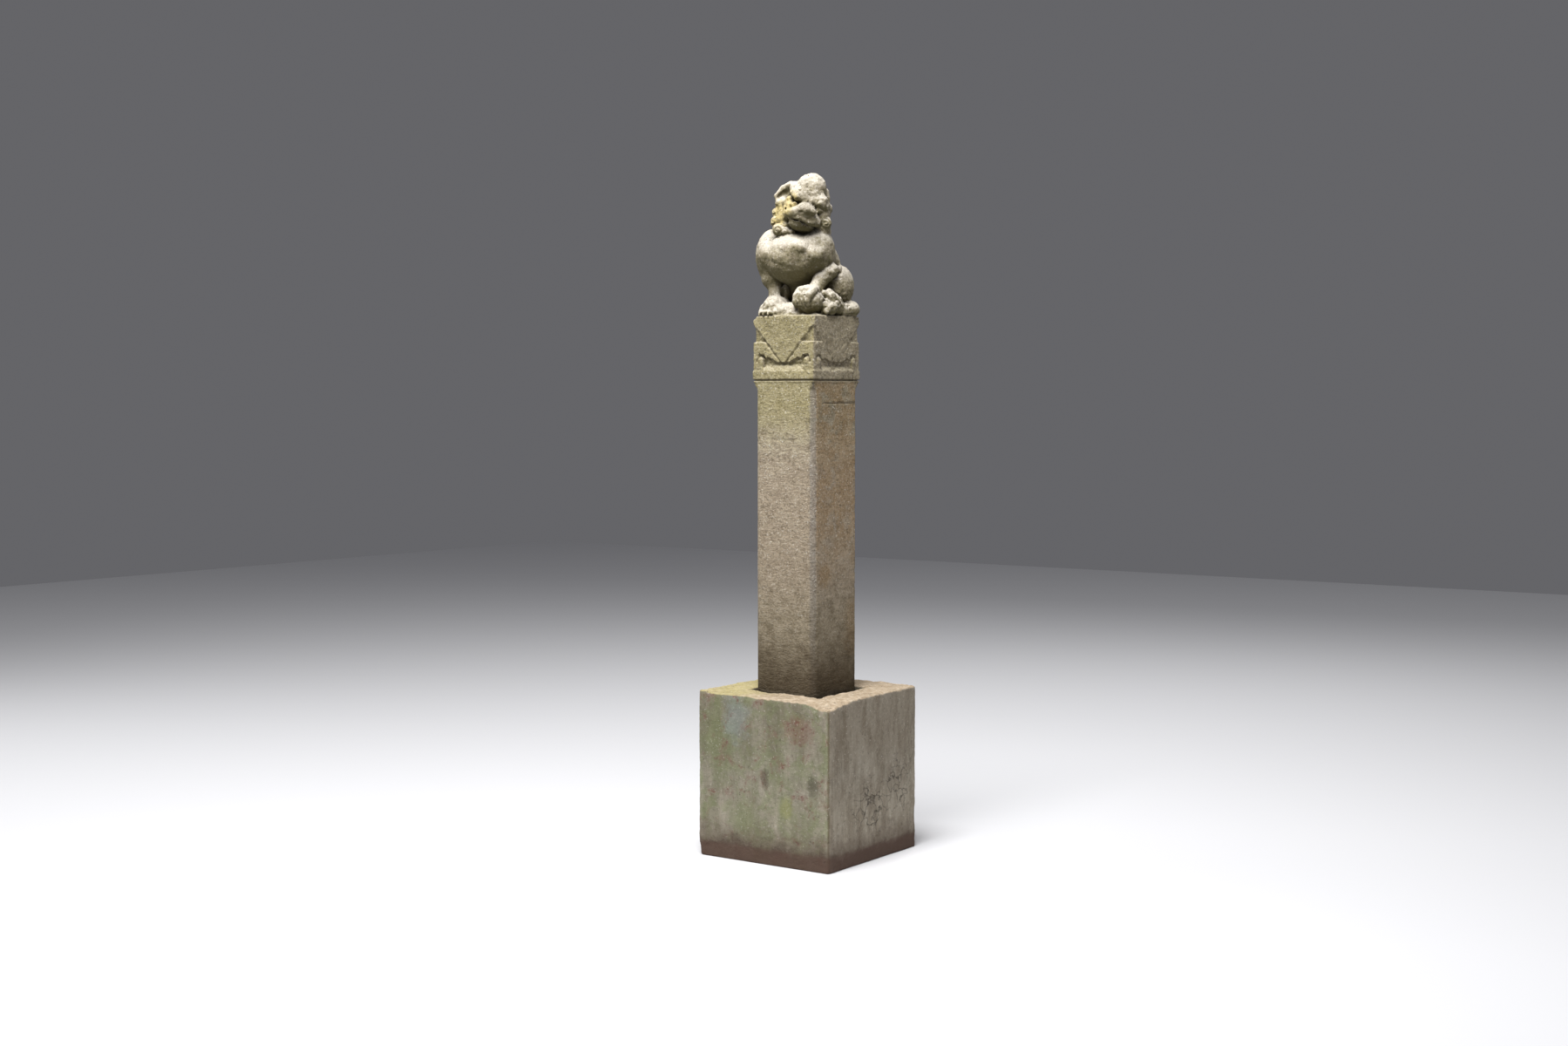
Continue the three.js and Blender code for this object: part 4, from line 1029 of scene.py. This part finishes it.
def carve_socket_base(material):
    edge = BLOCK_SIDE / 2
    stone = Stone((-edge - 40, -edge - 40, -12), (edge + 40, edge + 40, BLOCK_HEIGHT + 30), BLOCK_STEP)
    carve_block(stone)
    points, quads = largest_shell(*stone.surface())
    piece = mesh_object("socket_base_stone", points, quads)
    normals = vertex_normals(piece.data)
    broken = ease(normals[:, 2], 0.3, 0.8) * ease(points[:, 2], BLOCK_HEIGHT - 60, BLOCK_HEIGHT - 40)
    rough = (0.35 + 1.3 * broken) * noise(points, 8, 41) + 0.3 * noise(points, 4.6, 42)
    rough = rough - 1.0 * ease(noise(points, 5, 43), 0.55, 0.8) - 0.4
    rough = rough * ease(points[:, 2], 1, 6)
    points = points + normals * rough[:, None]
    limit = edge - 0.2
    points[:, :2] = np.clip(points[:, :2], -limit, limit)
    points[:, 2] = np.maximum(points[:, 2], 0)
    move_vertices(piece.data, points)
    thin_out(piece, BLOCK_TRIANGLES)
    mesh = piece.data
    points = vertex_places(mesh)
    # The hollow measure feeds painted shade in the block's material
    near = stone.sample(stone.filled(9), points)
    paint(mesh, "hollow", np.clip((near - 0.5) * 3, -1, 1))
    paint(mesh, "shelter", np.clip((stone.sample(stone.filled(30), points) - 0.5) * 3, -1, 1))
    move_vertices(mesh, points * MM)
    finish_stone(piece, material)
    return piece


# ---- finishes

def tone(red, green, blue):
    """A colour as it is seen, 0 to 255, made linear"""
    linear = [(value / 255 + 0.055) / 1.055 for value in (red, green, blue)]
    return [value**2.4 for value in linear] + [1.0]


def shader_group(name, inputs, outputs):
    kinds = {"vector": "NodeSocketVector", "number": "NodeSocketFloat"}
    return new_tree(
        name,
        "ShaderNodeTree",
        [(socket, kinds[kind], value) for socket, kind, value in inputs],
        [(socket, "NodeSocketFloat") for socket in outputs],
    )


def remap(tree, value, low, high, to_low=0.0, to_high=1.0):
    return put(tree, "ShaderNodeMapRange", value, low, high, to_low, to_high, interpolation_type="SMOOTHSTEP")


def texture(tree, vector, size, detail=4.0, roughness=0.6, distortion=0.0, offset=0.0):
    """Noise with lumps about `size` metres across"""
    return put(
        tree,
        "ShaderNodeTexNoise",
        noise_dimensions="4D",
        named={
            "Vector": vector,
            "W": offset,
            "Scale": maths(tree, "DIVIDE", 1.0, size),
            "Detail": detail,
            "Roughness": roughness,
            "Distortion": distortion,
        },
    )


def grain_group():
    """The stone's own grain: broad mottling, grit, pale specks and small ragged pits"""
    tree, given, result = shader_group(
        "stone_grain",
        [("Vector", "vector", None), ("Size", "number", 0.004), ("Seed", "number", 0.0)],
        ["Mottle", "Grit", "Specks", "Pits"],
    )
    vector, size, seed = given["Vector"], given["Size"], given["Seed"]
    mottle = texture(tree, vector, maths(tree, "MULTIPLY", size, 9), 8, 0.74, 0.3, seed)
    grit = texture(tree, vector, maths(tree, "MULTIPLY", size, 1.4), 3, 0.75, 0.2, maths(tree, "ADD", seed, 3))
    fleck = texture(tree, vector, maths(tree, "MULTIPLY", size, 1.1), 2, 0.7, 0, maths(tree, "ADD", seed, 5))
    dent = texture(tree, vector, maths(tree, "MULTIPLY", size, 1.5), 3, 0.75, 0, maths(tree, "ADD", seed, 7))
    tree.links.new(mottle, result["Mottle"])
    tree.links.new(grit, result["Grit"])
    tree.links.new(remap(tree, fleck, 0.6, 0.7), result["Specks"])
    tree.links.new(remap(tree, dent, 0.38, 0.27), result["Pits"])
    return tree


def growth_group():
    """Patches of lichen or moss with ragged edges; Cover is the share that they take"""
    tree, given, result = shader_group(
        "patchy_growth",
        [
            ("Vector", "vector", None),
            ("Size", "number", 0.05),
            ("Cover", "number", 0.5),
            ("Softness", "number", 0.08),
            ("Seed", "number", 0.0),
        ],
        ["Mask"],
    )
    patch = texture(tree, given["Vector"], given["Size"], 7, 0.7, 0.6, given["Seed"])
    bar = maths(tree, "MULTIPLY_ADD", given["Cover"], -0.4, 0.7)
    low = maths(tree, "SUBTRACT", bar, given["Softness"])
    high = maths(tree, "ADD", bar, given["Softness"])
    tree.links.new(remap(tree, patch, low, high), result["Mask"])
    return tree


def run_group():
    """Stains that water has drawn downwards"""
    tree, given, result = shader_group(
        "rain_runs",
        [
            ("Vector", "vector", None),
            ("Width", "number", 0.03),
            ("Stretch", "number", 0.15),
            ("Cover", "number", 0.5),
            ("Seed", "number", 0.0),
        ],
        ["Mask"],
    )
    squeeze = put(tree, "ShaderNodeCombineXYZ", 1.0, 1.0, given["Stretch"])
    drawn = put(tree, "ShaderNodeVectorMath", given["Vector"], squeeze, operation="MULTIPLY")
    run = texture(tree, drawn, given["Width"], 6, 0.66, 0.3, given["Seed"])
    bar = maths(tree, "MULTIPLY_ADD", given["Cover"], -0.4, 0.7)
    mask = remap(tree, run, maths(tree, "SUBTRACT", bar, 0.12), maths(tree, "ADD", bar, 0.12))
    tree.links.new(mask, result["Mask"])
    return tree


def dressing_group():
    """Short level tool strokes, close together and uneven"""
    tree, given, result = shader_group(
        "tool_strokes",
        [("Vector", "vector", None), ("Pitch", "number", 0.004), ("Seed", "number", 0.0)],
        ["Height"],
    )
    flatten = put(tree, "ShaderNodeCombineXYZ", 0.45, 0.45, 1.0)
    drawn = put(tree, "ShaderNodeVectorMath", given["Vector"], flatten, operation="MULTIPLY")
    strokes = texture(tree, drawn, maths(tree, "MULTIPLY", given["Pitch"], 1.6), 3, 0.7, 0.25, given["Seed"])
    tree.links.new(remap(tree, strokes, 0.32, 0.66), result["Height"])
    return tree


def crack_group():
    """A net of fine cracks"""
    tree, given, result = shader_group(
        "map_cracks",
        [("Vector", "vector", None), ("Size", "number", 0.05), ("Width", "number", 0.02)],
        ["Mask"],
    )
    wander = put(tree, "ShaderNodeTexNoise", out=1, named={"Vector": given["Vector"], "Scale": 30.0, "Detail": 5.0})
    nudge = put(tree, "ShaderNodeVectorMath", wander, (0.5, 0.5, 0.5), operation="SUBTRACT")
    nudge = put(tree, "ShaderNodeVectorMath", nudge, operation="SCALE", named={"Scale": 0.06})
    moved = put(tree, "ShaderNodeVectorMath", given["Vector"], nudge, operation="ADD")
    cells = put(
        tree,
        "ShaderNodeTexVoronoi",
        feature="DISTANCE_TO_EDGE",
        named={"Vector": moved, "Scale": maths(tree, "DIVIDE", 1.0, given["Size"])},
    )
    tree.links.new(remap(tree, cells, 0.0, given["Width"], 1, 0), result["Mask"])
    return tree


def spot_group():
    """A soft spot round a place, with a ragged edge"""
    tree, given, result = shader_group(
        "soft_spot",
        [
            ("Vector", "vector", None),
            ("X", "number", 0.0),
            ("Y", "number", 0.0),
            ("Z", "number", 0.0),
            ("Reach", "number", 0.05),
            ("Height", "number", 1.0),
        ],
        ["Mask"],
    )
    place = put(tree, "ShaderNodeCombineXYZ", given["X"], given["Y"], given["Z"])
    away = put(tree, "ShaderNodeVectorMath", given["Vector"], place, operation="SUBTRACT")
    squeeze = put(tree, "ShaderNodeCombineXYZ", 1.0, 1.0, maths(tree, "DIVIDE", 1.0, given["Height"]))
    away = put(tree, "ShaderNodeVectorMath", away, squeeze, operation="MULTIPLY")
    far = put(tree, "ShaderNodeVectorMath", away, out=1, operation="LENGTH")
    ragged = texture(tree, given["Vector"], maths(tree, "MULTIPLY", given["Reach"], 0.5), 6, 0.7)
    near = maths(tree, "DIVIDE", far, given["Reach"])
    near = maths(tree, "ADD", near, maths(tree, "MULTIPLY_ADD", ragged, 1.6, -0.8))
    tree.links.new(remap(tree, near, 0.35, 1.0, 1, 0), result["Mask"])
    return tree


GRAIN = grain_group()
GROWTH = growth_group()
RUNS = run_group()
DRESSING = dressing_group()
CRACKS = crack_group()
SPOT = spot_group()


class Finish:
    """A stone's material, built up as layers of colour and height over its bare stone"""

    def __init__(self, name, bare):
        self.material = bpy.data.materials.new(name)
        self.material.use_nodes = True
        self.tree = self.material.node_tree
        self.tree.nodes.clear()
        self.vector = put(self.tree, "ShaderNodeTexCoord", out=3)
        self.height = None
        self.colour = put(self.tree, "ShaderNodeRGB")
        self.colour.default_value = tone(*bare)
        self.x, self.y, self.z = self.split(self.vector)
        normal = put(self.tree, "ShaderNodeNewGeometry", out=1)
        self.right, self.back, self.up = self.split(normal)

    def split(self, vector):
        node = self.tree.nodes.new("ShaderNodeSeparateXYZ")
        self.tree.links.new(vector, node.inputs[0])
        return node.outputs

    def maths(self, operation, *values):
        return maths(self.tree, operation, *values)

    def both(self, *masks):
        result = masks[0]
        for mask in masks[1:]:
            result = self.maths("MULTIPLY", result, mask)
        return result

    def either(self, *masks):
        result = masks[0]
        for mask in masks[1:]:
            result = self.maths("MAXIMUM", result, mask)
        return result

    def ramp(self, value, low, high):
        """0 at low, 1 at high, either way round"""
        if low < high:
            return remap(self.tree, value, low, high)
        return remap(self.tree, value, high, low, 1.0, 0.0)

    def wander(self, value, by, amount):
        """A value pushed up and down by a mottling, so that an edge that follows it is ragged"""
        return self.maths("ADD", value, self.maths("MULTIPLY_ADD", by, amount, -amount / 2))

    def attribute(self, name):
        return put(self.tree, "ShaderNodeAttribute", out=2, attribute_name=name)

    def effect(self, group, out=0, **values):
        node = self.tree.nodes.new("ShaderNodeGroup")
        node.node_tree = group
        self.tree.links.new(self.vector, node.inputs["Vector"])
        for name, value in values.items():
            node.inputs[name].default_value = value
        return node.outputs[out]

    def growth(self, size, cover, softness=0.08, seed=0.0):
        return self.effect(GROWTH, Size=size, Cover=cover, Softness=softness, Seed=seed)

    def runs(self, width, cover, stretch=0.15, seed=0.0):
        return self.effect(RUNS, Width=width, Cover=cover, Stretch=stretch, Seed=seed)

    def spot(self, place, reach, height=1.0):
        x, y, z = (value * MM for value in place)
        return self.effect(SPOT, X=x, Y=y, Z=z, Reach=reach * MM, Height=height)

    def layer(self, shade, mask, strength=1.0, blend="MIX"):
        factor = mask if strength == 1 else self.maths("MULTIPLY", mask, strength)
        node = self.tree.nodes.new("ShaderNodeMix")
        node.data_type = "RGBA"
        node.blend_type = blend
        self.tree.links.new(factor, node.inputs[0])
        self.tree.links.new(self.colour, node.inputs[6])
        node.inputs[7].default_value = tone(*shade)
        self.colour = node.outputs[2]

    def raise_by(self, value, amount):
        step = self.maths("MULTIPLY", value, amount)
        self.height = step if self.height is None else self.maths("ADD", self.height, step)

    def done(self, smooth, matt, gloss_mask):
        bump = put(self.tree, "ShaderNodeBump", named={"Strength": 1.0, "Distance": 1.0, "Height": self.height})
        shader = self.tree.nodes.new("ShaderNodeBsdfPrincipled")
        self.tree.links.new(self.colour, shader.inputs["Base Color"])
        self.tree.links.new(remap(self.tree, gloss_mask, 0, 1, smooth, matt), shader.inputs["Roughness"])
        self.tree.links.new(bump, shader.inputs["Normal"])
        shader.inputs["Specular IOR Level"].default_value = 0.3
        output = self.tree.nodes.new("ShaderNodeOutputMaterial")
        self.tree.links.new(shader.outputs[0], output.inputs[0])
        return self.material


def weathered_limestone():
    stone = Finish("weathered_limestone", (174, 162, 138))
    mottle, grit, specks, pits = (stone.effect(GRAIN, i, Size=0.004) for i in range(4))
    hollow, shelter = stone.attribute("hollow"), stone.attribute("shelter")
    front = stone.ramp(stone.back, -0.3, -0.85)
    lion_left = stone.ramp(stone.right, 0.3, 0.85)
    arris = stone.both(stone.ramp(stone.back, -0.3, -0.55), stone.ramp(stone.right, 0.3, 0.55))
    level = stone.wander(stone.z, mottle, 0.16)
    lion = stone.ramp(stone.z, 1.478, 1.494)
    below = stone.ramp(stone.z, 1.494, 1.478)
    shaft = stone.ramp(stone.z, 1.31, 1.3)
    # Bare stone: warm and cool mottling, with the lion browner below and painted highlight where it faces upwards
    stone.layer((118, 106, 84), stone.ramp(mottle, 0.55, 0.36), 0.75)
    stone.layer((200, 192, 174), stone.ramp(mottle, 0.55, 0.72), 0.75)
    stone.layer((138, 128, 102), stone.both(lion, stone.ramp(level, 1.68, 1.57)), 0.55)
    stone.layer((132, 126, 84), stone.both(lion, stone.growth(0.035, 0.7, 0.1, 3.0)), 0.45)
    stone.layer((136, 124, 106), stone.both(lion, stone.growth(0.03, 0.5, 0.1, 6.0)), 0.5)
    # Painted highlight: the lion paler on its upward-facing surfaces
    stone.layer((214, 206, 192), stone.both(lion, stone.ramp(stone.wander(stone.up, mottle, 0.6), -0.05, 0.7)), 0.8)
    # Yellow-green algae on the capital and the top of the shaft, thinning downwards
    algae = stone.both(below, stone.ramp(level, 1.1, 1.24), stone.growth(0.06, 1.1, 0.2, 2.0))
    stone.layer((150, 140, 92), stone.both(algae, front), 0.65)
    stone.layer((128, 118, 90), stone.both(algae, lion_left), 0.4)
    stone.layer((156, 138, 118), stone.both(shaft, stone.ramp(level, 1.2, 1.02), stone.ramp(level, 0.6, 0.8)), 0.55)
    # Ochre lichen in patches that run down the lion's left side
    patches = stone.either(
        stone.both(stone.growth(0.04, 0.62, 0.07, 8.0), stone.ramp(stone.z, 0.7, 0.95)),
        stone.spot((95, -77, 1130), 45, 2.2),
        stone.spot((100, 26, 1020), 60, 1.6),
        stone.spot((99, -60, 780), 40, 1.3),
        stone.spot((99, 70, 620), 60, 1.8),
    )
    stone.layer((156, 122, 74), stone.both(lion_left, shaft, patches), 0.45)
    # Painted shade: the chamfer painted darker and cooler than the faces beside it
    stone.layer((134, 130, 124), stone.both(arris, shaft), 0.6)
    # The lion's face: yellow cheek and mane, grey-brown muzzle and brow, and painted shade on the jaw
    yellow = stone.either(
        stone.spot((-2, -95, 1785), 44, 1.3),
        stone.spot((-42, -76, 1755), 38, 1.6),
        stone.spot((-75, -40, 1720), 30, 1.2),
    )
    stone.layer((190, 170, 106), stone.both(lion, yellow), 0.75)
    grey = stone.either(stone.spot((52, -97, 1762), 44, 0.8), stone.spot((50, -90, 1806), 40, 0.5))
    stone.layer((124, 115, 96), stone.both(lion, grey), 0.7)
    # Painted shade on the jaw, under the overhanging upper lip
    stone.layer((78, 70, 42), stone.both(lion, stone.spot((37, -89, 1718), 38, 0.6)), 0.8)
    # Grit, fine pale specks and dark grains
    stone.layer((66, 58, 40), stone.ramp(grit, 0.5, 0.3), 0.6)
    stone.layer((222, 214, 198), stone.ramp(grit, 0.52, 0.74), 0.5)
    stone.layer((236, 231, 222), specks, 0.55)
    stone.layer((54, 47, 33), pits, 0.75)
    # Painted shade in the hollows and under the lion, painted shade and highlight on the down- and up-facing surfaces
    # below the lion, and darker towards the foot of the shaft
    # Painted shade in the hollows
    hollow_shade = stone.ramp(stone.wander(hollow, grit, 0.5), 0.05, 0.7)
    stone.layer((54, 47, 29), hollow_shade, 0.8)
    # Painted shade with an olive tint on the lion's downward-facing surfaces
    under = stone.both(lion, stone.ramp(stone.wander(stone.up, mottle, 0.8), 0.15, -0.6))
    stone.layer((72, 66, 34), under, 0.85)
    # Painted shade where the lion's surroundings are enclosed
    stone.layer((56, 50, 28), stone.both(lion, stone.ramp(shelter, -0.05, 0.5)), 0.65)
    # Painted shade on the downward-facing surfaces below the lion, and painted highlight on the upward-facing ones
    stone.layer((80, 70, 48), stone.both(below, stone.ramp(stone.up, -0.12, -0.6)), 0.7)
    stone.layer((196, 186, 160), stone.both(below, stone.ramp(stone.up, 0.15, 0.6)), 0.5)
    damp = stone.both(stone.ramp(level, 0.95, 0.5), stone.runs(0.04, 0.9, 0.2, 1.0))
    stone.layer((104, 91, 70), damp, 0.6)
    foot = stone.ramp(level, 0.66, 0.47)
    stone.layer((66, 54, 38), foot, 0.75)
    # Relief
    strokes = stone.effect(DRESSING, Pitch=0.0038)
    # Painted shade in the low parts of the tool strokes
    stone.layer((92, 81, 60), stone.both(stone.ramp(strokes, 0.35, 0.0), below), 0.3)
    stone.raise_by(stone.both(strokes, below), 0.0013)
    stone.raise_by(pits, -0.0012)
    stone.raise_by(grit, 0.0026)
    stone.raise_by(mottle, 0.006)
    return stone.done(0.84, 0.97, mottle)


def rough_block_stone():
    stone = Finish("stained_block_stone", (158, 150, 134))
    mottle, grit, specks, pits = (stone.effect(GRAIN, i, Size=0.006, Seed=11.0) for i in range(4))
    hollow = stone.attribute("hollow")
    front = stone.ramp(stone.back, -0.3, -0.85)
    lion_left = stone.ramp(stone.right, 0.3, 0.85)
    level = stone.wander(stone.z, mottle, 0.14)
    top = stone.both(stone.ramp(stone.up, 0.25, 0.6), stone.ramp(stone.z, 0.4, 0.425))
    wall = stone.ramp(stone.up, 0.6, 0.25)
    stone.layer((120, 112, 97), stone.ramp(mottle, 0.56, 0.36), 0.65)
    stone.layer((186, 179, 164), stone.ramp(mottle, 0.55, 0.72), 0.6)
    # Browner and darker towards the top, with stains that run down
    upper = stone.both(wall, stone.ramp(level, 0.24, 0.36))
    stone.layer((120, 108, 90), upper, 0.62)
    stone.layer((176, 166, 146), stone.both(wall, stone.ramp(level, 0.26, 0.12)), 0.4)
    stone.layer((104, 104, 80), stone.both(front, stone.runs(0.03, 0.62, 0.22, 3.0)), 0.55)
    stone.layer((108, 94, 76), stone.both(lion_left, stone.runs(0.022, 0.6, 0.2, 6.0)), 0.5)
    stone.layer((178, 170, 154), stone.both(wall, stone.runs(0.05, 0.5, 0.3, 21.0)), 0.4)
    green = stone.either(
        stone.spot((-150, -219, 330), 80, 1.5),
        stone.spot((74, -219, 165), 40, 1.6),
        stone.spot((-60, -219, 120), 70, 1.0),
        stone.growth(0.06, 0.45, 0.1, 9.0),
    )
    stone.layer((118, 128, 84), stone.both(front, green), 0.5)
    stone.layer((150, 150, 92), stone.both(front, stone.spot((80, -219, 160), 26, 1.5)), 0.5)
    cool = stone.both(front, stone.spot((-90, -219, 390), 60, 1.6))
    stone.layer((140, 148, 142), cool, 0.6)
    pink = stone.either(stone.spot((120, -219, 375), 62, 0.9), stone.growth(0.05, 0.3, 0.06, 12.0))
    stone.layer((132, 104, 92), stone.both(front, pink), 0.55)
    rust = stone.both(pink, stone.growth(0.012, 0.4, 0.04, 31.0))
    stone.layer((110, 56, 52), stone.both(front, rust), 0.6)
    dark = stone.either(
        stone.spot((-92, -219, 62), 24),
        stone.spot((60, -219, 50), 30, 1.0),
        stone.spot((165, -219, 230), 26, 1.4),
        stone.spot((10, -219, 235), 18, 2.5),
    )
    stone.layer((84, 80, 64), stone.both(front, dark), 0.6)
    # The broken top is painted pale and warm, a warm tone with painted highlight on its upward-facing surfaces, with
    # green at its far left
    stone.layer((196, 178, 154), top, 0.9)
    stone.layer((150, 130, 104), stone.both(top, stone.growth(0.02, 0.55, 0.1, 17.0)), 0.7)
    left = stone.ramp(stone.wander(stone.x, mottle, 0.2), 0.02, -0.14)
    stone.layer((172, 164, 104), stone.both(top, left, stone.growth(0.04, 0.9, 0.15, 19.0)), 0.6)
    # Cracks low on the lion's left side
    place = stone.either(stone.spot((219, -20, 150), 110, 0.9), stone.spot((219, 120, 190), 90, 1.1))
    cracks = stone.both(lion_left, place, stone.effect(CRACKS, Size=0.045, Width=0.035))
    stone.layer((66, 58, 50), cracks, 0.8)
    # A darker corner, grit, painted shade in the hollows, and darker towards the bottom
    corner = stone.both(stone.ramp(stone.back, -0.25, -0.5), stone.ramp(stone.right, 0.25, 0.5))
    stone.layer((104, 94, 72), corner, 0.7)
    stone.layer((72, 65, 52), stone.ramp(grit, 0.46, 0.3), 0.4)
    stone.layer((208, 201, 186), stone.ramp(grit, 0.56, 0.74), 0.3)
    stone.layer((222, 216, 204), specks, 0.3)
    stone.layer((70, 62, 50), pits, 0.6)
    # Painted shade in the hollows
    stone.layer((64, 55, 42), stone.ramp(stone.wander(hollow, grit, 0.4), 0.15, 0.8), 0.75)
    stone.layer((96, 82, 70), stone.ramp(level, 0.12, 0.05), 0.6)
    stone.layer((74, 58, 48), stone.both(wall, stone.ramp(level, 0.062, 0.03)), 0.7)
    stone.layer((90, 66, 56), stone.both(wall, stone.ramp(stone.z, 0.05, 0.035)), 0.5)
    stone.raise_by(grit, 0.0014)
    stone.raise_by(mottle, 0.004)
    stone.raise_by(pits, -0.0016)
    stone.raise_by(cracks, -0.002)
    return stone.done(0.86, 0.98, mottle)


# ---- the studio

def studio_floor():
    points = np.array([(-9, -9, 0), (9, -9, 0), (9, 9, 0), (-9, 9, 0)], float)
    floor = mesh_object("studio_floor", points, np.array([[0, 1, 2, 3]]))
    paper = bpy.data.materials.new("pale_paper")
    paper.use_nodes = True
    shader = paper.node_tree.nodes["Principled BSDF"]
    shader.inputs["Base Color"].default_value = tone(226, 226, 228)
    shader.inputs["Roughness"].default_value = 0.9
    floor.data.materials.append(paper)


def soft_light(name, at, aim, size, power):
    lamp = bpy.data.lights.new(name, "AREA")
    lamp.energy = power
    lamp.size = size
    light = bpy.data.objects.new(name, lamp)
    light.location = at
    light.rotation_euler = (Vector(aim) - Vector(at)).to_track_quat("-Z", "Y").to_euler()
    bpy.context.scene.collection.objects.link(light)


def studio():
    studio_floor()
    soft_light("key_light", (0.5, -1.9, 5.2), (0, 0, 1.0), 2.2, 400)
    soft_light("left_light", (-4.5, -1.5, 2.6), (0, 0, 1.0), 2.5, 45)
    soft_light("back_light", (-0.5, 4.0, 4.2), (0, 0, 1.2), 2.5, 60)
    world = bpy.data.worlds.new("studio_air")
    bpy.context.scene.world = world
    world.use_nodes = True
    air = world.node_tree.nodes["Background"]
    air.inputs["Color"].default_value = tone(128, 128, 132)
    air.inputs["Strength"].default_value = 0.6
    lens = bpy.data.cameras.new("camera")
    lens.lens = 48.03
    lens.sensor_width = 36
    camera = bpy.data.objects.new("camera", lens)
    camera.location = (3.2966, -4.7482, 1.2644)
    camera.rotation_euler = (math.radians(86.544), 0, math.radians(35.44))
    bpy.context.scene.collection.objects.link(camera)
    bpy.context.scene.camera = camera
    bpy.context.scene.view_settings.view_transform = "Standard"


post = carve_guardian_post(weathered_limestone())
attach(post, "root")
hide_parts("guardian_post")

base = carve_socket_base(rough_block_stone())
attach(base, "root")
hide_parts("socket_base")

studio()
